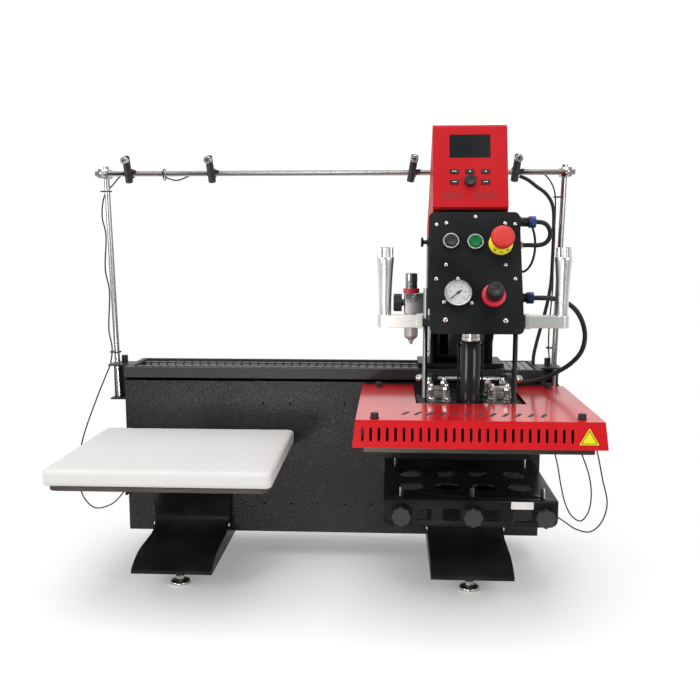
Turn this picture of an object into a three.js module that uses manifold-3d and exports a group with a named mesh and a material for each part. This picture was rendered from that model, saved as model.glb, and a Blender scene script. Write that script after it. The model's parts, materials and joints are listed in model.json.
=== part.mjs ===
// Two-station shuttle heat press. Millimetres, +Z up, +X to the operator's right,
// the operator stands on the -Y side. The floor is z = 0, under the levelling feet.

import * as THREE from 'three';
import { mergeVertices } from 'three/addons/utils/BufferGeometryUtils.js';
import Module from 'manifold-3d';

const wasm = await Module();
wasm.setup();

// ---- driving dimensions -------------------------------------------------------------

const GAP = 0.3;                 // between pieces that touch
const STATION = 352.5;           // a station's centre, left or right of the middle
const PRESS_Y = -97.5;           // the middle of the platen, front to back

const BASE_HALF = 567.5;
const BASE_FRONT = 150;
const BASE_BACK = 325;
const BASE_BOTTOM = 69;
const BASE_TOP = 530;
const SHEET = 3;                 // sheet steel of the base
const LIP = 29;                  // height of the tray's front lip
const GROOVE = 8;                // shadow gap between the lip and the front panel

const LEG_LEFT = -378;            // centres of the two legs
const LEG_RIGHT = 365;
const LEG_WIDTH = 203;
const LEG_TOE = -122;
const LEG_FLOOR = 52;
const FOOT_RADIUS = 27;
const FOOT_LEFT = -374;
const FOOT_RIGHT = 364;
const FOOT_FRONT = -53;
const FOOT_BACK = 285;

const PAD_LEFT = -622;
const PAD_RIGHT = -96;
const PAD_FRONT = -300;
const PAD_BACK = 140;
const PAD_TOP = 364;
const PAD_THICK = 39;
const BOARD_THICK = 11;
const BOARD_INSET = 12;

const TABLE_TOP = 282;           // top of the steel supports under the stations
const SUPPORT_X = 347.5;          // centre and width of the right-hand table
const SUPPORT_WIDTH = 399;
const SUPPORT_FRONT = -210;
const SUPPORT_BACK = 149.7;
const FLANGE_BOTTOM = 220;

const PLATEN_WIDTH = 505;
const PLATEN_DEPTH = 400;
const PLATEN_BOTTOM = 415;
const PLATEN_THICK = 26;
const COVER_TOP_HALF = 265;
const COVER_FOOT_HALF = 272;
const COVER_BOTTOM = 432;
const COVER_TOP = 492;
const COVER_FRONT = -325;
const COVER_BACK = 121;
const SLOTS = 26;
const SLOT_PITCH = 17.85;

const POLE_RADIUS = 7.5;
const POLE_Y = 230;
const POLE_FOOT_X = 610.5;
const POLE_HEAD_X = 625;
const POLE_BOTTOM = 432.3;
const POLE_TOP = 1075;
const BAR_Y = 212;
const BAR_Z = 1054;
const BAR_HALF = 648;

const PANEL_WIDTH = 212;
const PANEL_HEIGHT = 301;
const PANEL_TILT = 23.5;
const HOOD_TILT = 16.9;
const RAM_Y = -90;
const GUIDE_X = 107.5;           // guide rods, left and right of the station centre
const GUIDE_Y = -75;
const SHAFT_X = 366.5;
const SHAFT_Y = 90;
const SHAFT_Z = 515;
const ARM_LOW = 673;
const ARM_HIGH = 701;
const GRIP_X = 204;              // grips, left and right of the station centre
const GRIP_Y = -130;

// ---- materials ----------------------------------------------------------------------

const material = (color, roughness, metalness) =>
  new THREE.MeshStandardMaterial({ color, roughness, metalness });

const blackCoat = material(0x2c2c2e, 0.55, 0.1);
const satinBlack = material(0x191b1d, 0.4, 0.1);
const redCoat = material(0xcc1c26, 0.35, 0.1);
const aluminium = material(0xc9c9c6, 0.35, 0.9);
const chrome = material(0xd8d8d8, 0.12, 1.0);
const whiteFoam = material(0xeae9e6, 0.9, 0.0);
const brownBoard = material(0x4b3c32, 0.7, 0.0);
const blackPlastic = material(0x1c1c1e, 0.5, 0.0);
const redPlastic = material(0xd8322c, 0.35, 0.0);
const greenPlastic = material(0x0f8a45, 0.35, 0.0);
const blackRubber = material(0x151515, 0.75, 0.0);

// ---- solids -------------------------------------------------------------------------

function toSolid(geometry) {
  const bare = geometry.clone();
  bare.deleteAttribute('normal');
  bare.deleteAttribute('uv');
  const merged = mergeVertices(bare, 1e-4);
  const vertProperties = new Float32Array(merged.attributes.position.array);
  const triVerts = new Uint32Array(merged.index.array);
  return new wasm.Manifold(new wasm.Mesh({ numProp: 3, vertProperties, triVerts }));
}

function toGeometry(solid) {
  const mesh = solid.getMesh();
  const geometry = new THREE.BufferGeometry();
  geometry.setAttribute('position', new THREE.BufferAttribute(mesh.vertProperties, 3));
  geometry.setIndex(new THREE.BufferAttribute(mesh.triVerts, 1));
  geometry.computeVertexNormals();
  return geometry;
}

function join(...geometries) {
  const solids = geometries.map(toSolid);
  return toGeometry(solids.reduce((whole, next) => whole.add(next)));
}

function cut(geometry, ...tools) {
  const solids = tools.map(toSolid);
  return toGeometry(solids.reduce((whole, next) => whole.subtract(next), toSolid(geometry)));
}

function block(x0, x1, y0, y1, z0, z1) {
  const geometry = new THREE.BoxGeometry(x1 - x0, y1 - y0, z1 - z0);
  return geometry.translate((x0 + x1) / 2, (y0 + y1) / 2, (z0 + z1) / 2);
}

// A round bar along one axis; a and b are its centre on the other two axes, in x, y, z order.
function bar(axis, radius, from, to, a, b, sides = 24) {
  const geometry = new THREE.CylinderGeometry(radius, radius, to - from, sides);
  const middle = (from + to) / 2;
  if (axis === 'x') return geometry.rotateZ(-Math.PI / 2).translate(middle, a, b);
  if (axis === 'y') return geometry.translate(a, middle, b);
  return geometry.rotateX(Math.PI / 2).translate(a, b, middle);
}

// A round bar between two points.
function strut(from, to, radius, sides = 16) {
  const start = new THREE.Vector3(...from);
  const span = new THREE.Vector3(...to).sub(start);
  const geometry = new THREE.CylinderGeometry(radius, radius, span.length(), sides);
  const up = new THREE.Vector3(0, 1, 0);
  const turn = new THREE.Quaternion().setFromUnitVectors(up, span.clone().normalize());
  geometry.applyQuaternion(turn);
  return geometry.translate(...start.addScaledVector(span, 0.5).toArray());
}

function outline(points) {
  return new THREE.Shape(points.map(([u, v]) => new THREE.Vector2(u, v)));
}

function roundedOutline(u0, u1, v0, v1, r) {
  const shape = new THREE.Shape();
  shape.moveTo(u0 + r, v0);
  shape.lineTo(u1 - r, v0);
  shape.absarc(u1 - r, v0 + r, r, -Math.PI / 2, 0, false);
  shape.lineTo(u1, v1 - r);
  shape.absarc(u1 - r, v1 - r, r, 0, Math.PI / 2, false);
  shape.lineTo(u0 + r, v1);
  shape.absarc(u0 + r, v1 - r, r, Math.PI / 2, Math.PI, false);
  shape.lineTo(u0, v0 + r);
  shape.absarc(u0 + r, v0 + r, r, Math.PI, Math.PI * 1.5, false);
  return shape;
}

// Extrudes an outline along z (outline in x, y), along x (in y, z) or along y (in x, z).
function extrude(shape, axis, from, to, curveSegments = 4) {
  const depth = to - from;
  const options = { depth, bevelEnabled: false, curveSegments };
  const geometry = new THREE.ExtrudeGeometry(shape, options);
  if (axis === 'z') return geometry.translate(0, 0, from);
  const turn = new THREE.Matrix4();
  const east = new THREE.Vector3(1, 0, 0);
  const north = new THREE.Vector3(0, 1, 0);
  const up = new THREE.Vector3(0, 0, 1);
  if (axis === 'x') {
    turn.makeBasis(north, up, east);
    return geometry.applyMatrix4(turn).translate(from, 0, 0);
  }
  turn.makeBasis(east, up, north.clone().negate());
  return geometry.applyMatrix4(turn).translate(0, to, 0);
}

// Turns a profile of [radius, height] points about the z axis; it starts and ends on the axis.
function turned(profile, x, y, sides = 24) {
  const points = profile.map(([radius, height]) => new THREE.Vector2(radius, height));
  return new THREE.LatheGeometry(points, sides).rotateX(Math.PI / 2).translate(x, y, 0);
}

// A bent sheet: a strip of even thickness under an open line of [u, v] points.
function stripOutline(points, thickness) {
  const line = points.map(([u, v]) => new THREE.Vector2(u, v));
  const under = line.map((point, i) => {
    const before = line[Math.max(i - 1, 0)];
    const after = line[Math.min(i + 1, line.length - 1)];
    const along = after.clone().sub(before).normalize();
    return new THREE.Vector2(point.x + along.y * thickness, point.y - along.x * thickness);
  });
  return new THREE.Shape([...line, ...under.reverse()]);
}

function smooth(points, count) {
  const curve = new THREE.SplineCurve(points.map(([u, v]) => new THREE.Vector2(u, v)));
  return curve.getPoints(count).map((point) => [point.x, point.y]);
}

function cord(route, diameter, steps) {
  const path = new THREE.CatmullRomCurve3(route.map((point) => new THREE.Vector3(...point)));
  const corners = [];
  for (let i = 0; i < 8; i += 1) {
    const angle = (i * Math.PI) / 4;
    corners.push([Math.cos(angle) * diameter / 2, Math.sin(angle) * diameter / 2]);
  }
  const options = { steps, extrudePath: path, bevelEnabled: false };
  return new THREE.ExtrudeGeometry(outline(corners), options);
}

// ---- assembly -----------------------------------------------------------------------

const press = new THREE.Group();

function add(name, geometry, finish, parent = press) {
  const mesh = new THREE.Mesh(geometry, finish);
  mesh.name = name;
  parent.add(mesh);
  return mesh;
}

// A sloping face: x to the right, y up the slope, z out of the face.
function slopingFace(x, y, z, tilt) {
  const face = new THREE.Group();
  face.position.set(x, y, z);
  face.rotation.x = THREE.MathUtils.degToRad(90 - tilt);
  face.updateMatrix();
  press.add(face);
  return face;
}

const onFace = (geometry, face) => geometry.applyMatrix4(face.matrix);

// ---- base ---------------------------------------------------------------------------

const SOCKETS = [[-1, 285, 165], [1, 280, 100], [1, 285, 330], [1, 300, 440]];
const SOCKET_LENGTH = 9;

function baseFrame() {
  const top = BASE_TOP - LIP - 0.8;
  const front = BASE_FRONT + SHEET + GAP;
  const shell = block(-BASE_HALF, BASE_HALF, front, BASE_BACK, BASE_BOTTOM, top);
  const room = block(
    -BASE_HALF + SHEET, BASE_HALF - SHEET, front - 1, BASE_BACK - SHEET, BASE_BOTTOM + SHEET, top + 1,
  );
  const sockets = SOCKETS.map(([side, y, z]) => {
    const ends = [side * (BASE_HALF - 1), side * (BASE_HALF + SOCKET_LENGTH)].sort((a, b) => a - b);
    return bar('x', 6, ends[0], ends[1], y, z, 12);
  });
  const inlet = block(-330, -270, BASE_BACK - 5, BASE_BACK + 1, 120, 160);
  const louvres = [];
  for (let i = 0; i < 6; i += 1) {
    louvres.push(block(200, 320, BASE_BACK - 5, BASE_BACK + 1, 300 + i * 16, 306 + i * 16));
  }
  return join(cut(shell, room, inlet, ...louvres), ...sockets);
}

// Tapped holes left in the front panel, [x, z].
const FIXINGS = [
  [-185, 432], [-111, 432], [38, 432], [-185, 150], [-111, 150], [-37, 150], [37, 150], [112, 150],
];

function frontPanel() {
  const top = BASE_TOP - LIP - GROOVE;
  const sheet = block(-BASE_HALF, BASE_HALF, BASE_FRONT, BASE_FRONT + SHEET, BASE_BOTTOM, top);
  const holes = FIXINGS.map(([x, z]) => bar('y', 3, BASE_FRONT - 1, BASE_FRONT + SHEET + 1, x, z, 8));
  return cut(sheet, ...holes);
}

function topTray() {
  const half = BASE_HALF + 1;
  const front = BASE_FRONT - 2;
  const low = BASE_TOP - LIP;
  const whole = block(-half, half, front, BASE_BACK, low, BASE_TOP);
  const recess = block(-half + 16, half - 16, front + 10, BASE_BACK - 10, low + 11, BASE_TOP + 1);
  const under = block(-half + 3, half - 3, front + 3, BASE_BACK - 3, low - 1, low + 7);
  return cut(whole, recess, under);
}

const RAIL_Y = [198, 274];
const BED_TOP = 515;

function railBed() {
  const bed = block(-548, 548, 162, 310, BASE_TOP - LIP + 11 + GAP, BED_TOP);
  const rails = RAIL_Y.map((y) => {
    const profile = outline([
      [y - 8, BED_TOP - 0.5], [y + 8, BED_TOP - 0.5], [y + 8, 518], [y + 5.5, 520], [y + 5.5, 522],
      [y + 8, 524], [y + 8, 527], [y - 8, 527], [y - 8, 524], [y - 5.5, 522], [y - 5.5, 520],
      [y - 8, 518],
    ]);
    return extrude(profile, 'x', -545, 545);
  });
  return join(bed, ...rails);
}

// ---- legs and feet ------------------------------------------------------------------

function leg(centre) {
  const inner = centre - LEG_WIDTH / 2;
  const outer = centre + LEG_WIDTH / 2;
  const curve = smooth([
    [LEG_TOE, LEG_FLOOR + 10], [-95, 76], [-50, 88], [20, 90], [70, 93],
    [96, 108], [102, 132], [90, 165], [61, 192], [20, 222], [-10, 240],
  ], 22);
  const plate = outline([
    [LEG_TOE, LEG_FLOOR], ...curve, [-10, 243], [SUPPORT_BACK, 243],
    [SUPPORT_BACK, BASE_BOTTOM - GAP], [312, BASE_BOTTOM - GAP], [312, LEG_FLOOR],
  ]);
  const web = stripOutline(curve.slice(0, -1), 4);
  const floor = block(inner, outer, LEG_TOE, 312, LEG_FLOOR, LEG_FLOOR + 8);
  return join(
    extrude(plate, 'x', inner, inner + 5),
    extrude(plate, 'x', outer - 5, outer),
    extrude(web, 'x', inner + 1, outer - 1),
    floor,
  );
}

function levellingFoot(x, y) {
  return turned([
    [0, 0], [FOOT_RADIUS - 2, 0], [FOOT_RADIUS, 2], [FOOT_RADIUS, 10], [FOOT_RADIUS - 4, 13],
    [11, 14], [11, 24], [7, 26], [7, LEG_FLOOR - GAP], [0, LEG_FLOOR - GAP],
  ], x, y, 16);
}

// ---- stations -----------------------------------------------------------------------

function supportLeft() {
  const half = 141;
  const plate = block(-STATION - half, -STATION + half, -100, SUPPORT_BACK, TABLE_TOP - 6, TABLE_TOP);
  const sides = [-1, 1].map((side) => {
    const edge = -STATION + side * half;
    const edges = [edge, edge - side * 5].sort((a, b) => a - b);
    return block(edges[0], edges[1], -100, SUPPORT_BACK, 246, TABLE_TOP - 3);
  });
  const riser = block(LEG_LEFT - 80, LEG_LEFT + 80, 0, SUPPORT_BACK, 243 + GAP, TABLE_TOP - 3);
  return join(plate, ...sides, riser);
}

function padBoard() {
  const bottom = PAD_TOP - PAD_THICK - GAP - BOARD_THICK;
  const shape = roundedOutline(
    PAD_LEFT + BOARD_INSET, PAD_RIGHT - BOARD_INSET,
    PAD_FRONT + BOARD_INSET, PAD_BACK - BOARD_INSET, 22,
  );
  const posts = [];
  for (const dx of [-115, 115]) {
    for (const y of [-75, 60]) {
      posts.push(bar('z', 12, TABLE_TOP + GAP, bottom + 1, -STATION + dx, y, 16));
    }
  }
  return join(extrude(shape, 'z', bottom, bottom + BOARD_THICK), ...posts);
}

function pad() {
  const shape = roundedOutline(PAD_LEFT, PAD_RIGHT, PAD_FRONT, PAD_BACK, 16);
  return extrude(shape, 'z', PAD_TOP - PAD_THICK, PAD_TOP);
}

const STAR_X = [-164, 0, 164];
const STAR_Z = 247;

function supportRight() {
  const half = SUPPORT_WIDTH / 2;
  const x0 = SUPPORT_X - half;
  const x1 = SUPPORT_X + half;
  const plate = block(x0, x1, SUPPORT_FRONT, SUPPORT_BACK, TABLE_TOP - 5, TABLE_TOP);
  const flange = extrude(
    roundedOutline(x0, x1, FLANGE_BOTTOM, TABLE_TOP + 20, 18), 'y', SUPPORT_FRONT, SUPPORT_FRONT + 5,
  );
  const trim = block(x0 - 1, x1 + 1, SUPPORT_FRONT - 1, SUPPORT_FRONT + 6, TABLE_TOP, TABLE_TOP + 30);
  const windows = [[-116, 44], [-48, 42], [46, 43], [114, 44]].map(([dx, width]) => {
    const left = STATION + dx - width / 2;
    const shape = roundedOutline(left, left + width, STAR_Z - 14, STAR_Z + 14, 6);
    return extrude(shape, 'y', SUPPORT_FRONT - 1, SUPPORT_FRONT + 6, 2);
  });
  const holes = [];
  for (let i = 0; i < 4; i += 1) {
    for (const y of [-104, 4]) {
      holes.push(bar('z', 30, TABLE_TOP - 6, TABLE_TOP + 1, STATION - 138 + i * 88, y, 12));
    }
  }
  const studHoles = STAR_X.map((dx) => (
    bar('y', 4.3, SUPPORT_FRONT - 1, SUPPORT_FRONT + 6, STATION + dx, STAR_Z, 8)
  ));
  const pins = [[-163, -185], [0, -185], [163, -185], [-175, 75], [160, 75]].map(([dx, y]) => (
    bar('z', 5, TABLE_TOP - 1, TABLE_TOP + 22, STATION + dx, y, 8)
  ));
  const riser = block(LEG_RIGHT - 80, LEG_RIGHT + 80, 30, SUPPORT_BACK, 243 + GAP, TABLE_TOP - 3);
  return join(cut(join(plate, flange), trim, ...windows, ...holes, ...studHoles), riser, ...pins);
}

function starKnob(x) {
  const lobes = new THREE.Shape();
  const turns = 48;
  for (let i = 0; i <= turns; i += 1) {
    const angle = (i * 2 * Math.PI) / turns;
    const radius = 20.5 + 2 * Math.cos(8 * angle);
    const u = x + radius * Math.cos(angle);
    const v = STAR_Z + radius * Math.sin(angle);
    if (i === 0) lobes.moveTo(u, v);
    else lobes.lineTo(u, v);
  }
  const face = SUPPORT_FRONT - GAP;
  const stud = bar('y', 4, face - 4, SUPPORT_FRONT + 24, x, STAR_Z, 8);
  const neck = bar('y', 10, face - 8, face, x, STAR_Z, 12);
  return join(extrude(lobes, 'y', face - 24, face - 6), neck, stud);
}

// ---- laser gantry -------------------------------------------------------------------

function poleBracket(side) {
  const wall = side * (BASE_HALF + 1 + GAP);
  const out = side * 629;
  const span = (a, b) => [a, b].sort((p, q) => p - q);
  const shelf = span(wall, out);
  const back = span(wall, wall + side * 3);
  const pole = strut(
    [side * POLE_FOOT_X, POLE_Y, POLE_BOTTOM], [side * POLE_HEAD_X, POLE_Y, POLE_TOP], POLE_RADIUS + GAP,
  );
  const body = join(
    block(...back, 196, 266, 428, 529),
    block(...shelf, 196, 266, 525, 529),
    block(...shelf, 206, 256, 428, 432),
    block(...span(wall, side * 629), 244, 250, 431, 526),
    bar('z', 9, 528, 548, side * 600, 256, 16),
  );
  return cut(body, pole);
}

function pole(side) {
  return strut(
    [side * POLE_FOOT_X, POLE_Y, POLE_BOTTOM], [side * POLE_HEAD_X, POLE_Y, POLE_TOP], POLE_RADIUS,
  );
}

function laserBar() {
  const rail = bar('x', POLE_RADIUS, -BAR_HALF, BAR_HALF, BAR_Y, BAR_Z, 16);
  const clamps = [-1, 1].map((side) => {
    const x = side * 624.5;
    const body = block(x - 13, x + 13, BAR_Y - 12, POLE_Y + 12, BAR_Z - 12, BAR_Z + 12);
    const screw = bar('y', 11, BAR_Y - 22, BAR_Y - 11, x, BAR_Z, 16);
    return join(body, screw);
  });
  const holes = [-1, 1].map((side) => strut(
    [side * POLE_FOOT_X, POLE_Y, POLE_BOTTOM - 5], [side * POLE_HEAD_X, POLE_Y, POLE_TOP + 5],
    POLE_RADIUS + GAP,
  ));
  return cut(join(rail, ...clamps), ...holes);
}

const LASER_X = [-551, -325, 217, 490];

function laser(x) {
  const lean = x < 0 ? 6 : -6;
  const barrel = strut([x + lean, BAR_Y - 31, BAR_Z - 26], [x - lean, BAR_Y - 20, BAR_Z + 44], 10, 16);
  const ring = bar('x', 13, x - 9, x + 9, BAR_Y, BAR_Z, 20);
  const neck = block(x - 8, x + 8, BAR_Y - 26, BAR_Y - 9, BAR_Z - 9, BAR_Z + 11);
  const screw = bar('y', 10.5, BAR_Y - 44, BAR_Y - 24, x - lean * 0.8, BAR_Z + 32, 20);
  const bore = bar('x', POLE_RADIUS + GAP, x - 20, x + 20, BAR_Y, BAR_Z, 16);
  return cut(join(barrel, ring, neck, screw), bore);
}

// ---- carriage -----------------------------------------------------------------------

const PLATE_LOW = BASE_TOP + 1.5;
const PLATE_HIGH = PLATE_LOW + 12;

function carriagePlate() {
  const plate = block(STATION - 115, STATION + 115, 168, 305, PLATE_LOW, PLATE_HIGH);
  const trucks = [];
  const channels = [];
  for (const y of RAIL_Y) {
    for (const dx of [-65, 65]) {
      const x = STATION + dx;
      trucks.push(block(x - 30, x + 30, y - 17, y + 17, 517.5, PLATE_LOW + 1));
    }
    const low = 510;
    channels.push(block(STATION - 120, STATION + 120, y - 8.4, y + 8.4, low, 527.4));
  }
  return cut(join(plate, ...trucks), ...channels);
}

const PANEL_BACK = (z) => -186 + (z - 664) * Math.tan(THREE.MathUtils.degToRad(PANEL_TILT));
const FRAME_LOW = 676;
const FRAME_HIGH = 925;
const FRAME_OUT = 84;
const VALVE_X = STATION - 96;
const SIDE_BOX_X = STATION + 116;
const GLANDS = [[-30, 917], [-30, 735]];
const FITTINGS = [[-14, 862, 9], [8, 926, 5], [8, 797, 5]];

function headFrame() {
  const side = outline([
    [172, PLATE_HIGH + GAP], [288, PLATE_HIGH + GAP], [288, 895], [200, FRAME_HIGH],
    [PANEL_BACK(FRAME_HIGH), FRAME_HIGH], [PANEL_BACK(FRAME_LOW), FRAME_LOW],
    [60, FRAME_LOW], [130, 645], [172, 600],
  ]);
  const x0 = STATION - FRAME_OUT;
  const x1 = STATION + FRAME_OUT;
  const plates = [extrude(side, 'x', x0, x0 + 8), extrude(side, 'x', x1 - 8, x1)];
  const back = block(x0 + 4, x1 - 4, 280, 288, PLATE_HIGH + GAP, 890);
  const web = cut(
    block(x0 + 4, x1 - 4, 226, 232, PLATE_HIGH + GAP, 700),
    block(STATION - 56, STATION - 32, 220, 240, 560, 680),
    block(STATION + 32, STATION + 56, 220, 240, 560, 680),
  );
  const mount = cut(
    block(STATION - 117, STATION + 117, -150, -10, FRAME_LOW, FRAME_LOW + 14),
    bar('z', 12, FRAME_LOW - 1, FRAME_LOW + 15, STATION, RAM_Y, 24),
    bar('z', 6.4, FRAME_LOW - 1, FRAME_LOW + 15, STATION - GUIDE_X, GUIDE_Y, 16),
    bar('z', 6.4, FRAME_LOW - 1, FRAME_LOW + 15, STATION + GUIDE_X, GUIDE_Y, 16),
  );
  const valves = block(VALVE_X, x0 + 2, 60, 180, 700, 890);
  const wiring = block(x1 - 2, SIDE_BOX_X, -52, 24, 715, 930);
  const glands = GLANDS.flatMap(([y, z]) => [
    bar('x', 11, SIDE_BOX_X - 1, SIDE_BOX_X + 26, y, z, 16),
    bar('x', 14, SIDE_BOX_X + 22, SIDE_BOX_X + 39, y, z, 6),
  ]);
  const fittings = FITTINGS.map(([y, z, r]) => (
    bar('x', r, SIDE_BOX_X - 1, SIDE_BOX_X + 11, y, z, 12)
  ));
  return join(...plates, back, web, mount, valves, wiring, ...glands, ...fittings);
}

const CYLINDER_LOW = FRAME_LOW + 14 + GAP;

function airCylinder() {
  const can = bar('z', 35, CYLINDER_LOW, 764, STATION, RAM_Y, 24);
  const bore = bar('z', 31, CYLINDER_LOW + 7, 757, STATION, RAM_Y, 24);
  const rodHole = bar('z', 11.6, CYLINDER_LOW - 1, CYLINDER_LOW + 8, STATION, RAM_Y, 24);
  const port = bar('x', 6, STATION + 32.5, STATION + 46, RAM_Y, 744, 12);
  return join(cut(can, bore, rodHole), port);
}

// ---- hood with the display and keys -------------------------------------------------

const HOOD_X = 351;
const HOOD_HALF = 90;
const hoodFace = slopingFace(HOOD_X, -10, 1051.5, HOOD_TILT);
const KEYS = [[-38.5, -14], [-1, -14], [36.5, -14], [-38.5, -40.5], [36.5, -40.5]];
const ENCODER = [-1, -39];

function hood() {
  const outside = outline([
    [-40, 953], [19, 1147], [25, 1152], [33, 1152], [205, 972], [296, 905], [296, 820],
    [206, 820], [180, 938], [-28, 938],
  ]);
  const inside = outline([
    [-36.5, 953.5], [21, 1143], [26, 1148.5], [31, 1148.5], [203, 969], [292.5, 903], [292.5, 800],
    [202, 800], [176, 900], [-25, 900],
  ]);
  const shell = cut(
    extrude(outside, 'x', HOOD_X - HOOD_HALF, HOOD_X + HOOD_HALF),
    extrude(inside, 'x', HOOD_X - HOOD_HALF + 3, HOOD_X + HOOD_HALF - 3),
  );
  const display = onFace(block(-50, 49, 21, 80.5, -1.2, 4), hoodFace);
  const pockets = KEYS.map(([u, v]) => onFace(block(u - 10.8, u + 10.8, v - 6.2, v + 6.2, -9, 4), hoodFace));
  const spindle = onFace(bar('z', 4.2, -9, 4, ...ENCODER, 12), hoodFace);
  return cut(shell, display, ...pockets, spindle);
}

const key = ([u, v]) => block(u - 10.2, u + 10.2, v - 5.6, v + 5.6, -4, 2.2);

function encoderKnob() {
  const knob = turned([[0, 0.5], [14, 0.5], [14, 12], [12.5, 14], [0, 14]], 0, 0, 24);
  const stem = bar('z', 3.6, -8, 2, 0, 0, 12);
  return join(knob, stem).translate(...ENCODER, 0);
}

// ---- control panel ------------------------------------------------------------------

const panelFace = slopingFace(357, -130, 802, PANEL_TILT);
const STOP = [-56, 75];
const START = [0.5, 73];
const ESTOP = [59, 69];
const GAUGE = [-42, -56];
const REGULATOR = [39.5, -59];
const PANEL_THICK = 3;

function controlPanel() {
  const half = PANEL_WIDTH / 2;
  const tall = PANEL_HEIGHT / 2;
  const plate = extrude(roundedOutline(-half, half, -tall, tall, 13), 'z', -PANEL_THICK, 0);
  const bezels = [STOP, START].flatMap(([u, v]) => [bar('z', 20, -1, 7, u, v, 24)]);
  const ring = bar('z', 28, -1, 6, ...ESTOP, 24);
  const stem = bar('z', 13, -1, 18, ...ESTOP, 20);
  const gauge = bar('z', 32, -1, 14, ...GAUGE, 32);
  const dial = bar('z', 28.5, 11, 15, ...GAUGE, 32);
  const collar = bar('z', 27.5, -1, 8, ...REGULATOR, 24);
  const stub = bar('z', 12, -1, 20, ...REGULATOR, 20);
  const caps = [STOP, START].map(([u, v]) => bar('z', 15.6, 1, 8, u, v, 24));
  return cut(join(plate, ...bezels, ring, stem, cut(gauge, dial), collar, stub), ...caps);
}

const buttonCap = ([u, v], height) => bar('z', 15, 5, height, u, v, 24);

function mushroom() {
  const head = turned([
    [0, 50], [20, 50], [25.5, 46], [27.5, 40], [26, 34], [22, 22], [19, 14], [13.6, 14],
    [13.6, 30], [0, 30],
  ].reverse(), 0, 0, 28);
  return head.translate(...ESTOP, 0);
}

function regulatorKnob() {
  const grip = turned([
    [0, 24], [12.6, 24], [12.6, 13], [20, 13], [20, 42], [18, 46], [0, 46],
  ], 0, 0, 28);
  return grip.translate(...REGULATOR, 0);
}

function gaugeNeedle() {
  const hub = bar('z', 3.5, 11.3, 13.4, 0, 0, 12);
  const hand = extrude(outline([[-9, -1.6], [22, -0.5], [22, 0.5], [-9, 1.6]]), 'z', 11.8, 13);
  return join(hub, hand).rotateZ(THREE.MathUtils.degToRad(218)).translate(...GAUGE, 0);
}

// ---- handles and air filter ---------------------------------------------------------

const MOUNT_EDGE = 117;

function handle(side) {
  const grip = STATION + side * GRIP_X;
  const root = STATION + side * (MOUNT_EDGE + GAP);
  const arm = new THREE.Shape();
  const y0 = GRIP_Y - 17;
  const y1 = GRIP_Y + 17;
  arm.moveTo(root, y0);
  arm.lineTo(grip, y0);
  arm.absarc(grip, GRIP_Y, 17, -Math.PI / 2, Math.PI / 2, side < 0);
  arm.lineTo(root, y1);
  const boss = STATION + side * (MOUNT_EDGE + 6);
  const tail = [root, boss + side * 8].sort((a, b) => a - b);
  return join(
    extrude(arm, 'z', ARM_LOW, ARM_HIGH, 8),
    block(tail[0], tail[1], y0 - 2, y1 + 2, ARM_LOW - 2, ARM_HIGH + 2),
    turned([
      [0, ARM_HIGH - 1], [14, ARM_HIGH - 1], [14.5, ARM_HIGH + 30], [20, 830], [20, 835],
      [18.8, 835], [18.8, 828], [0, 828],
    ], grip, GRIP_Y, 24),
  );
}

function thumbCap(side) {
  const grip = STATION + side * GRIP_X;
  const ribs = new THREE.Shape();
  const turns = 48;
  for (let i = 0; i <= turns; i += 1) {
    const angle = (i * 2 * Math.PI) / turns;
    const radius = i % 4 < 2 ? 18.2 : 16.8;
    const u = grip + radius * Math.cos(angle);
    const v = GRIP_Y + radius * Math.sin(angle);
    if (i === 0) ribs.moveTo(u, v);
    else ribs.lineTo(u, v);
  }
  return extrude(ribs, 'z', 832, 858);
}

const FILTER_X = 214.5;
const FILTER_Y = 100;
const FILTER_Z = 713;

function filterUnit() {
  const body = block(FILTER_X - 19, VALVE_X - GAP, FILTER_Y - 20, FILTER_Y + 20, 686, 740);
  const bowl = turned([
    [0, 604], [4, 604], [5, 612], [9, 619], [16, 622], [18.5, 630], [18.5, 688], [0, 688],
  ], FILTER_X, FILTER_Y, 20);
  const collar = bar('z', 21, 739, 750, FILTER_X, FILTER_Y, 20);
  const bonnet = bar('z', 15.5, 749, 790, FILTER_X, FILTER_Y, 20);
  return join(body, bowl, collar, bonnet);
}

function filterKnob() {
  const edge = FILTER_X - 19 - GAP;
  return join(
    bar('x', 23, edge - 27, edge - 5, FILTER_Y, FILTER_Z, 24),
    bar('x', 9, edge - 6, edge, FILTER_Y, FILTER_Z, 16),
  );
}

// ---- pressing head ------------------------------------------------------------------

const HEAD_LOW = 478.5;
const HEAD_HIGH = 486.5;

function ram() {
  return turned([
    [0, HEAD_HIGH + GAP], [24, HEAD_HIGH + GAP], [24, 636], [20, 640], [20, 655], [11, 655],
    [11, 747], [30.6, 747], [30.6, 756], [0, 756],
  ], STATION, RAM_Y, 24);
}

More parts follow.
